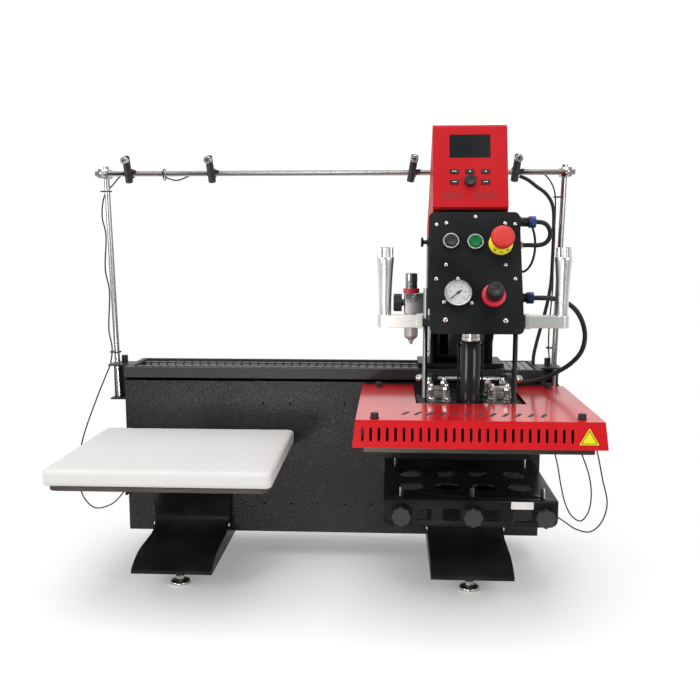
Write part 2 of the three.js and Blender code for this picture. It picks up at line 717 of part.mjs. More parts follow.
function headPlate() {
  const plate = block(STATION - 126, STATION + 126, -125, 120, HEAD_LOW, HEAD_HIGH);
  const top = PLATEN_BOTTOM + PLATEN_THICK + GAP;
  const posts = [];
  for (const dx of [-92, -55, 55, 92]) {
    for (const y of [-70, 20]) {
      posts.push(bar('z', 7, top, HEAD_HIGH + 16, STATION + dx, y, 8));
      posts.push(bar('z', 10, HEAD_HIGH - 1, HEAD_HIGH + 9, STATION + dx, y, 6));
    }
  }
  const rods = [-1, 1].map((side) => (
    bar('z', 6, HEAD_HIGH - 1, 760, STATION + side * GUIDE_X, GUIDE_Y, 16)
  ));
  const bearings = [-1, 1].map((side) => {
    const x = SHAFT_X + side * 104;
    return block(x - 8, x + 8, SHAFT_Y - 13, SHAFT_Y + 13, HEAD_HIGH - 1, SHAFT_Z + 13);
  });
  const shaft = bar('x', 7.3, SHAFT_X - 113, SHAFT_X + 113, SHAFT_Y, SHAFT_Z, 16);
  const socket = bar('x', 10, STATION + 106, STATION + 133.5, 115, 502.5, 16);
  const saddle = block(STATION + 106, STATION + 124, 108, 120, HEAD_HIGH - 1, 500);
  return cut(join(plate, ...posts, ...rods, ...bearings, socket, saddle), shaft);
}

function taperedShell(top, foot, y0, y1, z0, z1, flare) {
  const geometry = block(STATION - top, STATION + top, y0, y1, z0, z1);
  const place = geometry.attributes.position;
  for (let i = 0; i < place.count; i += 1) {
    if (place.getZ(i) > (z0 + z1) / 2) continue;
    const side = Math.sign(place.getX(i) - STATION);
    place.setX(i, STATION + side * foot);
    if (place.getY(i) < (y0 + y1) / 2) place.setY(i, y0 - flare);
  }
  return geometry;
}

function heatCover() {
  const flare = 6;
  const front = COVER_FRONT + flare;
  const outside = taperedShell(
    COVER_TOP_HALF, COVER_FOOT_HALF, front, COVER_BACK, COVER_BOTTOM, COVER_TOP, flare,
  );
  const inside = taperedShell(
    COVER_TOP_HALF - 2, COVER_FOOT_HALF - 2, front + 2, COVER_BACK - 2,
    COVER_BOTTOM - 1, COVER_TOP - 2, flare,
  );
  const opening = block(
    STATION - 130, STATION + 130, -131, COVER_BACK + 1, COVER_TOP - 16, COVER_TOP + 4,
  );
  const slots = [];
  for (let i = 0; i < SLOTS; i += 1) {
    const x = STATION - 250 + i * SLOT_PITCH;
    const shape = roundedOutline(x - 2.9, x + 2.9, 446, 476, 2.5);
    slots.push(extrude(shape, 'y', COVER_FRONT - 5, COVER_FRONT + 15, 1));
  }
  return cut(outside, inside, opening, ...slots);
}

function platen() {
  const half = PLATEN_WIDTH / 2;
  const shape = roundedOutline(
    STATION - half, STATION + half, PRESS_Y - PLATEN_DEPTH / 2, PRESS_Y + PLATEN_DEPTH / 2, 8,
  );
  return extrude(shape, 'z', PLATEN_BOTTOM, PLATEN_BOTTOM + PLATEN_THICK);
}

function pivotShaft() {
  const rod = bar('x', 7, SHAFT_X - 132, SHAFT_X + 132, SHAFT_Y, SHAFT_Z, 16);
  const domes = [-1, 1].flatMap((side) => {
    const inner = SHAFT_X + side * 114;
    const outer = SHAFT_X + side * 134;
    const ends = [inner, outer].sort((a, b) => a - b);
    const tip = new THREE.SphereGeometry(9, 16, 10).scale(0.7, 1, 1).translate(outer, SHAFT_Y, SHAFT_Z);
    return [bar('x', 10.5, ends[0], ends[1], SHAFT_Y, SHAFT_Z, 16), tip];
  });
  return join(rod, ...domes);
}

// ---- cords --------------------------------------------------------------------------

const HOSE_UPPER = [
  [508.3, -30, 917], [518, -30, 917], [532, -30, 912], [542, -27, 898], [543, -23, 881],
  [534, -18, 867], [518, -15, 862], [500, -14, 862], [480.3, -14, 862],
];
const HOSE_SMALL = [
  [480.3, 8, 926], [488, 8, 925], [504, 10, 910], [514, 11, 876], [513, 11, 838], [503, 10, 810],
  [490, 8, 798], [480.3, 8, 797],
];
const HOSE_FEED = [
  [508.3, -30, 735], [526, -30, 735], [556, -24, 733], [588, -10, 724], [618, 8, 703],
  [641, 28, 669], [652, 46, 629], [648, 66, 590], [628, 86, 558], [596, 102, 532], [560, 111, 513],
  [522, 115, 504], [486.3, 115, 502.5],
];
const WIRE_LEFT = [
  [-350, 229, 1060], [-390, 229, 1050], [-430, 229, 1037], [-470, 229, 1050], [-505, 230, 1060],
  [-551, 231, 1060], [-585, 240, 1052], [-612, 252, 1030], [-636, 246, 1000], [-644, 238, 944],
  [-636, 240, 889], [-640, 236, 791], [-632, 240, 735], [-637, 238, 622], [-631, 241, 570],
  [-637, 240, 525], [-652, 240, 490], [-682, 238, 420], [-728, 234, 293], [-742, 238, 200],
  [-735, 246, 130], [-705, 258, 92], [-660, 272, 100], [-620, 282, 140], [-595, 285, 160],
  [-577.3, 285, 165],
];
const WIRE_RIGHT = [
  [240, 231, 1062], [300, 231, 1056], [380, 231, 1046], [450, 231, 1056], [490, 231, 1060],
  [530, 233, 1062], [575, 246, 1050], [603, 257, 1012], [609, 258, 950], [605, 257, 850],
  [608, 256, 750], [602, 257, 640], [606, 272, 560], [622, 280, 490], [660, 274, 440],
  [706, 266, 390], [742, 258, 300], [765, 254, 201], [780, 252, 128], [764, 252, 72], [735, 254, 46],
  [698, 262, 50], [655, 272, 76], [612, 279, 97], [577.3, 280, 100],
];
const WIRE_RIGHT_2 = [
  [577.3, 300, 440], [598, 300, 440], [628, 299, 430], [662, 297, 388], [690, 295, 325],
  [714, 293, 262], [736, 291, 200], [744, 290, 140], [736, 289, 90], [716, 288, 66], [692, 288, 78],
  [672, 287, 112], [656, 287, 170], [642, 286, 240], [622, 285, 300], [598, 285, 328],
  [577.3, 285, 330],
];
const POLE_CABLE = [
  [506, 235, 1046], [528, 236, 1036], [553, 238, 1018], [580, 241, 998], [598, 243, 968],
  [603, 243, 900], [602, 241, 820], [600, 240, 760], [592, 240, 705], [580, 242, 650],
  [568, 250, 595], [561, 254, 555], [560, 255, 530.3],
];

// ---- everything in place ------------------------------------------------------------

add('base_frame', baseFrame(), blackCoat);
add('front_panel', frontPanel(), blackCoat);
add('top_tray', topTray(), blackCoat);
add('rail_bed', railBed(), aluminium);
add('leg_left', leg(LEG_LEFT), satinBlack);
add('leg_right', leg(LEG_RIGHT), satinBlack);
let footNumber = 0;
for (const x of [FOOT_LEFT, FOOT_RIGHT]) {
  for (const y of [FOOT_FRONT, FOOT_BACK]) {
    footNumber += 1;
    add(`levelling_foot_${footNumber}`, levellingFoot(x, y), chrome);
  }
}
add('support_left', supportLeft(), satinBlack);
add('pad_board', padBoard(), brownBoard);
add('pad', pad(), whiteFoam);
add('support_right', supportRight(), satinBlack);
STAR_X.forEach((dx, i) => add(`star_knob_${i + 1}`, starKnob(STATION + dx), blackPlastic));

add('pole_bracket_left', poleBracket(-1), blackCoat);
add('pole_bracket_right', poleBracket(1), blackCoat);
add('pole_left', pole(-1), chrome);
add('pole_right', pole(1), chrome);
add('laser_bar', laserBar(), chrome);
LASER_X.forEach((x, i) => add(`laser_${i + 1}`, laser(x), blackPlastic));

add('carriage_plate', carriagePlate(), satinBlack);
add('head_frame', headFrame(), satinBlack);
add('air_cylinder', airCylinder(), aluminium);
add('hood', hood(), redCoat);
add('encoder_knob', encoderKnob(), blackPlastic, hoodFace);
KEYS.forEach((place, i) => add(`key_${i + 1}`, key(place), blackPlastic, hoodFace));
add('control_panel', controlPanel(), satinBlack, panelFace);
add('estop_button', mushroom(), redPlastic, panelFace);
add('stop_button', buttonCap(STOP, 11.5), blackPlastic, panelFace);
add('start_button', buttonCap(START, 10.5), greenPlastic, panelFace);
add('gauge_needle', gaugeNeedle(), blackPlastic, panelFace);
add('regulator_knob', regulatorKnob(), blackPlastic, panelFace);
add('filter_unit', filterUnit(), aluminium);
add('filter_knob', filterKnob(), blackPlastic);
add('handle_left', handle(-1), aluminium);
add('handle_right', handle(1), aluminium);
add('thumb_left', thumbCap(-1), aluminium);
add('thumb_right', thumbCap(1), aluminium);

add('ram', ram(), blackPlastic);
add('head_plate', headPlate(), satinBlack);
add('heat_cover', heatCover(), redCoat);
add('platen', platen(), aluminium);
add('pivot_shaft', pivotShaft(), chrome);

add('hose_upper', cord(HOSE_UPPER, 11, 20), blackRubber);
add('hose_small', cord(HOSE_SMALL, 6, 20), blackRubber);
add('hose_feed', cord(HOSE_FEED, 12, 26), blackRubber);
add('laser_wire_left', cord(WIRE_LEFT, 4, 56), blackRubber);
add('laser_wire_right', cord(WIRE_RIGHT, 4, 56), blackRubber);
add('laser_wire_right_2', cord(WIRE_RIGHT_2, 4, 36), blackRubber);
add('pole_cable', cord(POLE_CABLE, 10, 26), blackRubber);

export default press;
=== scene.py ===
import json
from math import cos, pi, radians, sin

import bmesh
import bpy
from mathutils import Matrix, Vector

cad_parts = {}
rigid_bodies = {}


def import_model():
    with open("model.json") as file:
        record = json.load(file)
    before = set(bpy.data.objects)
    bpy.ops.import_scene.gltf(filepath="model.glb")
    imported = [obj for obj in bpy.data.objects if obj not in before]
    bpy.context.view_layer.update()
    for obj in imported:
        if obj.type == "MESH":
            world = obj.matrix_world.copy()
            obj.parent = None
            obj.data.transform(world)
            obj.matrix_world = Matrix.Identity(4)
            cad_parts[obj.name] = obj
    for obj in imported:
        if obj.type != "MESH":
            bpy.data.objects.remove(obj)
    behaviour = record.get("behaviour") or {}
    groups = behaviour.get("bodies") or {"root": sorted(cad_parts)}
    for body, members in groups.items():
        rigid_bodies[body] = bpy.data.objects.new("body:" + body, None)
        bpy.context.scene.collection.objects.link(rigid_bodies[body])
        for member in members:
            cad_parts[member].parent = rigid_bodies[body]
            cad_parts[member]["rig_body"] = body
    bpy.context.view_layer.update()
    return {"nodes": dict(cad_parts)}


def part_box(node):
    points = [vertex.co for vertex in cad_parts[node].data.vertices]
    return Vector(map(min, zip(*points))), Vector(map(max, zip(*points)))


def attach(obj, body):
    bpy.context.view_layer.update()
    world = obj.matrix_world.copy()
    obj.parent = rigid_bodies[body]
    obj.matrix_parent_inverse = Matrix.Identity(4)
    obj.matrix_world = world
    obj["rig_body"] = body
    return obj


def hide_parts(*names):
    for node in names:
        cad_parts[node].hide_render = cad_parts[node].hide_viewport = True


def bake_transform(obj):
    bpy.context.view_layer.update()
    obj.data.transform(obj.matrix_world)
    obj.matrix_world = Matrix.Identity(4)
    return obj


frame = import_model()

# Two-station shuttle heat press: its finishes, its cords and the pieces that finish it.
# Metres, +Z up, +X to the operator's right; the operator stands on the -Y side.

SCENE = bpy.context.scene
SCENE.view_settings.view_transform = "Standard"

STATION = 0.3525                       # centre of the right-hand station
RAM_Y = -0.090
GRIP_REACH = 0.204                     # from the station's centre to a grip
GRIP_Y = -0.130
BAR_Y, BAR_Z = 0.212, 1.054            # the laser bar's centre line
LASER_X = (-0.551, -0.325, 0.217, 0.490)
STAR_Z = 0.247
RAIL_Y = (0.198, 0.274)
INLET_X = -0.300                       # the mains inlet in the rear recess


def sloping_face(x, y, z, tilt):
    """A face that leans back by tilt degrees: X to the right, Y up the slope, Z out of it."""
    return Matrix.Translation((x, y, z)) @ Matrix.Rotation(radians(90 - tilt), 4, "X")


def new_object(name, data):
    made = bpy.data.objects.new(name, data)
    SCENE.collection.objects.link(made)
    return made


def worked_out(thing):
    """The mesh of an object as its modifiers leave it."""
    return bpy.data.meshes.new_from_object(
        thing.evaluated_get(bpy.context.evaluated_depsgraph_get())
    )


def shade_smooth(mesh):
    mesh.polygons.foreach_set("use_smooth", [True] * len(mesh.polygons))


PANEL = sloping_face(0.357, -0.130, 0.802, 23.5)
HOOD_FACE = sloping_face(0.351, -0.010, 1.0515, 16.9)


# ---- camera, light and floor --------------------------------------------------------

def set_camera():
    data = bpy.data.cameras.new("camera")
    data.sensor_width = 36
    data.lens = 42.377
    data.clip_end = 60
    camera = new_object("camera", data)
    camera.location = (0.1635, -2.05, 0.872)
    camera.rotation_euler = (radians(90 - 7.535), 0, radians(2.893))
    SCENE.camera = camera


def soft_light(name, at, aim, size, power, colour=(1, 1, 1)):
    data = bpy.data.lights.new(name, "AREA")
    data.size = size
    data.energy = power
    data.color = colour
    light = new_object(name, data)
    light.location = at
    light.rotation_euler = (Vector(aim) - Vector(at)).to_track_quat("-Z", "Y").to_euler()


def light_studio():
    world = bpy.data.worlds.new("studio")
    world.use_nodes = True
    tree = world.node_tree
    sky = tree.nodes["Background"]
    sky.inputs["Color"].default_value = (1.0, 1.0, 1.0, 1)
    heading = tree.nodes.new("ShaderNodeSeparateXYZ")
    tree.links.new(tree.nodes.new("ShaderNodeTexCoord").outputs["Generated"], heading.inputs[0])
    room = tree.nodes.new("ShaderNodeMapRange")
    for socket, value in (("From Min", -1.0), ("From Max", 0.4),
                          ("To Min", 0.22), ("To Max", 0.90)):
        room.inputs[socket].default_value = value
    tree.links.new(heading.outputs["Y"], room.inputs["Value"])
    seen = tree.nodes.new("ShaderNodeLightPath").outputs["Is Camera Ray"]
    level = tree.nodes.new("ShaderNodeMapRange")
    level.inputs["To Max"].default_value = 1.05
    tree.links.new(seen, level.inputs["Value"])
    tree.links.new(room.outputs["Result"], level.inputs["To Min"])
    tree.links.new(level.outputs["Result"], sky.inputs["Strength"])
    SCENE.world = world
    soft_light("overhead", (0.1, -0.7, 3.4), (0.1, 0.0, 0.4), 2.6, 56)
    soft_light("left_side", (-2.6, -2.2, 1.5), (0, 0, 0.5), 1.5, 50)
    soft_light("right_side", (2.3, -2.3, 1.5), (0.3, 0, 0.7), 1.3, 30)
    soft_light("front_low", (-0.46, -2.35, 0.10), (-0.11, 0.15, 0.44), 0.24, 15,
               (1, 0.95, 0.91))


set_camera()
light_studio()


# ---- cords --------------------------------------------------------------------------

LOOP_HOSE = [
    (0.5083, -0.030, 0.917), (0.518, -0.030, 0.917), (0.532, -0.030, 0.912),
    (0.542, -0.027, 0.898), (0.543, -0.023, 0.881), (0.534, -0.018, 0.867),
    (0.518, -0.015, 0.862), (0.500, -0.014, 0.862), (0.4803, -0.014, 0.862),
]
THIN_HOSE = [
    (0.4803, 0.008, 0.926), (0.488, 0.008, 0.925), (0.504, 0.010, 0.910),
    (0.514, 0.011, 0.876), (0.513, 0.011, 0.838), (0.503, 0.010, 0.810),
    (0.490, 0.008, 0.798), (0.4803, 0.008, 0.797),
]
FEED_HOSE = [
    (0.5083, -0.030, 0.735), (0.526, -0.030, 0.735), (0.556, -0.024, 0.733),
    (0.588, -0.010, 0.724), (0.618, 0.008, 0.703), (0.641, 0.028, 0.669),
    (0.652, 0.046, 0.629), (0.648, 0.066, 0.590), (0.628, 0.086, 0.558),
    (0.596, 0.102, 0.532), (0.560, 0.111, 0.513), (0.522, 0.115, 0.504),
    (0.4863, 0.115, 0.5025),
]
WIRE_LEFT = [
    (-0.350, 0.229, 1.060), (-0.390, 0.229, 1.050), (-0.430, 0.229, 1.037),
    (-0.470, 0.229, 1.050), (-0.505, 0.230, 1.060), (-0.551, 0.231, 1.060),
    (-0.585, 0.240, 1.052), (-0.612, 0.252, 1.030), (-0.636, 0.246, 1.000),
    (-0.644, 0.238, 0.944), (-0.636, 0.240, 0.889), (-0.640, 0.236, 0.791),
    (-0.632, 0.240, 0.735), (-0.637, 0.238, 0.622), (-0.631, 0.241, 0.570),
    (-0.637, 0.240, 0.525), (-0.652, 0.240, 0.490), (-0.682, 0.238, 0.420),
    (-0.728, 0.234, 0.293), (-0.742, 0.238, 0.200), (-0.735, 0.246, 0.130),
    (-0.705, 0.258, 0.092), (-0.660, 0.272, 0.100), (-0.620, 0.282, 0.140),
    (-0.595, 0.285, 0.160), (-0.5773, 0.285, 0.165),
]
WIRE_RIGHT = [
    (0.240, 0.231, 1.062), (0.300, 0.231, 1.056), (0.380, 0.231, 1.046),
    (0.450, 0.231, 1.056), (0.490, 0.231, 1.060), (0.530, 0.233, 1.062),
    (0.575, 0.246, 1.050), (0.603, 0.257, 1.012), (0.609, 0.258, 0.950),
    (0.605, 0.257, 0.850), (0.608, 0.256, 0.750), (0.602, 0.257, 0.640),
    (0.606, 0.272, 0.560), (0.622, 0.280, 0.490), (0.660, 0.274, 0.440),
    (0.706, 0.266, 0.390), (0.742, 0.258, 0.300), (0.765, 0.254, 0.201),
    (0.780, 0.252, 0.128), (0.764, 0.252, 0.072), (0.735, 0.254, 0.046),
    (0.698, 0.262, 0.050), (0.655, 0.272, 0.076), (0.612, 0.279, 0.097),
    (0.5773, 0.280, 0.100),
]
WIRE_RETURN = [
    (0.5773, 0.300, 0.440), (0.598, 0.300, 0.440), (0.628, 0.299, 0.430),
    (0.662, 0.297, 0.388), (0.690, 0.295, 0.325), (0.714, 0.293, 0.262),
    (0.736, 0.291, 0.200), (0.744, 0.290, 0.140), (0.736, 0.289, 0.090),
    (0.716, 0.288, 0.066), (0.692, 0.288, 0.078), (0.672, 0.287, 0.112),
    (0.656, 0.287, 0.170), (0.642, 0.286, 0.240), (0.622, 0.285, 0.300),
    (0.598, 0.285, 0.328), (0.5773, 0.285, 0.330),
]
POLE_LEAD = [
    (0.506, 0.235, 1.046), (0.528, 0.236, 1.036), (0.553, 0.238, 1.018),
    (0.580, 0.241, 0.998), (0.598, 0.243, 0.968), (0.603, 0.243, 0.900),
    (0.602, 0.241, 0.820), (0.600, 0.240, 0.760), (0.592, 0.240, 0.705),
    (0.580, 0.242, 0.650), (0.568, 0.250, 0.595), (0.561, 0.254, 0.555),
    (0.560, 0.255, 0.5303),
]


def smooth_run(stops, steps=8):
    """Points along the smooth line that a cord takes through its stops."""
    stops = [Vector(stop) for stop in stops]
    line = [stops[0] * 2 - stops[1], *stops, stops[-1] * 2 - stops[-2]]
    run = []
    for before, start, end, after in zip(line, line[1:], line[2:], line[3:]):
        a = (start - before).length ** 0.5
        b = (end - start).length ** 0.5
        c = (after - end).length ** 0.5
        leave = ((start - before) / a - (end - before) / (a + b) + (end - start) / b) * b
        arrive = ((end - start) / b - (after - start) / (b + c) + (after - end) / c) * b
        for i in range(steps):
            t = i / steps
            run.append(
                start * (2 * t**3 - 3 * t**2 + 1) + leave * (t**3 - 2 * t**2 + t)
                + end * (3 * t**2 - 2 * t**3) + arrive * (t**3 - t**2)
            )
    return [*run, stops[-1]]


def round_cord(name, run, diameter):
    data = bpy.data.curves.new(name, "CURVE")
    data.dimensions = "3D"
    data.bevel_depth = diameter / 2
    data.bevel_resolution = 4
    data.use_fill_caps = True
    line = data.splines.new("POLY")
    line.points.add(len(run) - 1)
    for point, at in zip(line.points, run):
        point.co = (*at, 1)
    return new_object(name, data)


def lay_cord(name, node, stops, diameter, body):
    """A cord whose two ends go back into the press, on the body that carries it."""
    run = smooth_run(stops)
    cord = round_cord(name, run, diameter)
    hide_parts(node)
    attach(cord, body)
    return cord


def lay_feed_hose():
    """The feed hose runs from the carriage, where it leaves, to the head, where it ends."""
    run = smooth_run(FEED_HOSE)
    tube = round_cord("feed_hose_line", run, 0.012)
    mesh = worked_out(tube)
    bpy.data.objects.remove(tube)
    hose = new_object("feed_hose", mesh)
    shade_smooth(mesh)
    mesh.set_sharp_from_angle(angle=radians(60))
    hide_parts("hose_feed")
    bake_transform(hose)
    return hose


HOSES = [
    lay_cord("loop_hose", "hose_upper", LOOP_HOSE, 0.011, "carriage"),
    lay_cord("thin_hose", "hose_small", THIN_HOSE, 0.006, "carriage"),
    lay_feed_hose(),
]
LEADS = [
    lay_cord("wire_left", "laser_wire_left", WIRE_LEFT, 0.004, "base"),
    lay_cord("wire_right", "laser_wire_right", WIRE_RIGHT, 0.004, "base"),
    lay_cord("wire_return", "laser_wire_right_2", WIRE_RETURN, 0.004, "base"),
    lay_cord("pole_lead", "pole_cable", POLE_LEAD, 0.010, "base"),
]


# ---- writing material nodes ---------------------------------------------------------

def wire(tree, value, socket):
    """Gives a socket a value, or the output that feeds it."""
    if isinstance(value, bpy.types.NodeSocket):
        tree.links.new(value, socket)
    else:
        socket.default_value = value


def put(tree, kind, inputs=None, **settings):
    node = tree.nodes.new("ShaderNode" + kind)
    for name, value in settings.items():
        setattr(node, name, value)
    for name, value in (inputs or {}).items():
        wire(tree, value, node.inputs[name])
    return node


def reckon(tree, operation, *values, clamp=False):
    node = put(tree, "Math", operation=operation, use_clamp=clamp)
    for value, socket in zip(values, node.inputs):
        wire(tree, value, socket)
    return node.outputs[0]


def mix_tones(tree, amount, under, over):
    node = put(tree, "Mix", data_type="RGBA")
    for value, place in ((amount, 0), (under, 6), (over, 7)):
        wire(tree, value, node.inputs[place])
    return node.outputs[2]


def mix_amounts(tree, amount, under, over):
    node = put(tree, "Mix", data_type="FLOAT")
    for value, place in ((amount, 0), (under, 2), (over, 3)):
        wire(tree, value, node.inputs[place])
    return node.outputs[0]


def spread(tree, value, low, high, to_low=0.0, to_high=1.0):
    """Stretches the part of a value between low and high."""
    return put(tree, "MapRange", {
        "Value": value, "From Min": low, "From Max": high, "To Min": to_low, "To Max": to_high,
    }).outputs["Result"]


def effect(name, inputs, outputs):
    """An empty effect group: its tree, what comes in and what goes out."""
    tree = bpy.data.node_groups.new(name, "ShaderNodeTree")
    for label, value in inputs.items():
        kind = "NodeSocketFloat" if isinstance(value, float) else "NodeSocketVector"
        socket = tree.interface.new_socket(label, in_out="INPUT", socket_type=kind)
        socket.default_value = value
    for label in outputs:
        tree.interface.new_socket(label, in_out="OUTPUT", socket_type="NodeSocketFloat")
    entry = tree.nodes.new("NodeGroupInput")
    result = tree.nodes.new("NodeGroupOutput")
    return tree, entry.outputs, result.inputs


ORIGIN = (0.0, 0.0, 0.0)
EVEN = (1.0, 1.0, 1.0)


def vectors(tree, operation, a, b):
    return put(tree, "VectorMath", {0: a, 1: b}, operation=operation).outputs[0]


def skin_effect(name, scale, stretch=EVEN):
    """An empty effect that gives a height and a tone, and the stretched place it starts from."""
    inputs = {"Place": ORIGIN, "Scale": scale, "Stretch": stretch}
    tree, come, go = effect(name, inputs, ("Height", "Tone"))
    return tree, come, go, vectors(tree, "MULTIPLY", come["Place"], come["Stretch"])


def build_powder_grain():
    """The even fine grain of a baked powder coat or a moulding, and slow changes of tone."""
    tree, come, go, place = skin_effect("powder_grain", 900.0)
    fine = put(tree, "TexNoise", {"Vector": place, "Scale": come["Scale"], "Detail": 3.0})
    slow = put(tree, "TexNoise", {"Vector": come["Place"], "Scale": 7.0, "Detail": 2.0})
    wire(tree, fine.outputs["Fac"], go["Height"])
    tone = reckon(tree, "ADD", reckon(tree, "MULTIPLY", fine.outputs["Fac"], 0.35),
                  reckon(tree, "MULTIPLY", slow.outputs["Fac"], 0.65))
    wire(tree, spread(tree, tone, 0.3, 0.7), go["Tone"])


def build_hammered_skin():
    """The leathery dimples of a hammered coat."""
    tree, come, go, place = skin_effect("hammered_skin", 330.0)
    drift = put(tree, "TexNoise", {"Vector": place, "Scale": 210.0, "Detail": 2.0})
    shaken = put(tree, "VectorMath", {0: drift.outputs["Color"], "Scale": 0.004},
                 operation="SCALE")
    moved = vectors(tree, "ADD", place, shaken.outputs[0])
    dimple = put(tree, "TexVoronoi", {"Vector": moved, "Scale": come["Scale"]},
                 feature="SMOOTH_F1")
    slow = put(tree, "TexNoise", {"Vector": come["Place"], "Scale": 5.0, "Detail": 3.0})
    wire(tree, dimple.outputs["Distance"], go["Height"])
    tone = reckon(tree, "ADD", reckon(tree, "MULTIPLY", dimple.outputs["Distance"], 0.8),
                  reckon(tree, "MULTIPLY", slow.outputs["Fac"], 0.5))
    wire(tree, spread(tree, tone, 0.2, 0.9), go["Tone"])


def build_tool_marks():
    """Fine lines that a lathe or mill leaves, drawn out along the axes with little stretch."""
    tree, come, go, place = skin_effect("tool_marks", 60.0, (1.0, 1.0, 40.0))
    lines = put(tree, "TexNoise", {
        "Vector": place, "Scale": come["Scale"], "Detail": 5.0, "Roughness": 0.7,
    })
    wire(tree, lines.outputs["Fac"], go["Height"])
    wire(tree, spread(tree, lines.outputs["Fac"], 0.3, 0.7), go["Tone"])


def build_cover_weave():
    """The close weave of the pad's smooth cover."""
    tree, come, go, place = skin_effect("cover_weave", 420.0)
    thread = {"Vector": place, "Scale": come["Scale"], "Distortion": 0.4}
    warp = put(tree, "TexWave", thread, bands_direction="X")
    weft = put(tree, "TexWave", thread, bands_direction="Y")
    slow = put(tree, "TexNoise", {"Vector": come["Place"], "Scale": 4.0, "Detail": 2.0})
    threads = reckon(tree, "MAXIMUM", warp.outputs["Fac"], weft.outputs["Fac"])
    wire(tree, threads, go["Height"])
    tone = reckon(tree, "ADD", reckon(tree, "MULTIPLY", threads, 0.25), slow.outputs["Fac"])
    wire(tree, spread(tree, tone, 0.3, 1.0), go["Tone"])


def build_rubbed_marks():
    """Where sleeves and garments have rubbed: faint patches and hairline scratches."""
    tree, come, go = effect("rubbed_marks", {"Place": ORIGIN, "Amount": 0.2}, ("Mask",))
    patch = put(tree, "TexNoise", {
        "Vector": come["Place"], "Scale": 14.0, "Detail": 6.0, "Roughness": 0.7,
    })
    drawn = vectors(tree, "MULTIPLY", come["Place"], (3.0, 3.0, 110.0))
    hair = put(tree, "TexNoise", {"Vector": drawn, "Scale": 18.0, "Detail": 2.0})
    patches = spread(tree, patch.outputs["Fac"], 0.56, 0.74)
    hairs = spread(tree, hair.outputs["Fac"], 0.70, 0.74)
    both = reckon(tree, "MAXIMUM", patches, reckon(tree, "MULTIPLY", hairs, patches))
    wire(tree, reckon(tree, "MULTIPLY", both, come["Amount"], clamp=True), go["Mask"])


def build_settled_dust():
    """Dust and lint on what faces up."""
    inputs = {"Place": ORIGIN, "Facing": ORIGIN, "Amount": 0.1}
    tree, come, go = effect("settled_dust", inputs, ("Mask",))
    up = put(tree, "SeparateXYZ", {0: come["Facing"]}).outputs["Z"]
    lint = put(tree, "TexNoise", {
        "Vector": come["Place"], "Scale": 38.0, "Detail": 7.0, "Roughness": 0.75,
    })
    mask = reckon(tree, "MULTIPLY", spread(tree, up, 0.6, 0.95),
                  spread(tree, lint.outputs["Fac"], 0.42, 0.7))
    wire(tree, reckon(tree, "MULTIPLY", mask, come["Amount"], clamp=True), go["Mask"])


def build_zone():
    """1 inside a box between two corners, 0 outside."""
    tree, come, go = effect("zone", {"Place": ORIGIN, "Low": ORIGIN, "High": ORIGIN}, ("Mask",))
    over = vectors(tree, "SUBTRACT", come["Place"], come["Low"])
    under = vectors(tree, "SUBTRACT", come["High"], come["Place"])
    least = vectors(tree, "MINIMUM", over, under)
    parts = put(tree, "SeparateXYZ", {0: least}).outputs
    inside = reckon(tree, "MINIMUM", reckon(tree, "MINIMUM", parts["X"], parts["Y"]), parts["Z"])
    wire(tree, reckon(tree, "GREATER_THAN", inside, 0.0), go["Mask"])


for build in (build_powder_grain, build_hammered_skin, build_tool_marks, build_cover_weave,
              build_rubbed_marks, build_settled_dust, build_zone):
    build()


def use(tree, group, inputs):
    node = tree.nodes.new("ShaderNodeGroup")
    node.node_tree = bpy.data.node_groups[group]
    for name, value in inputs.items():
        wire(tree, value, node.inputs[name])
    return node.outputs


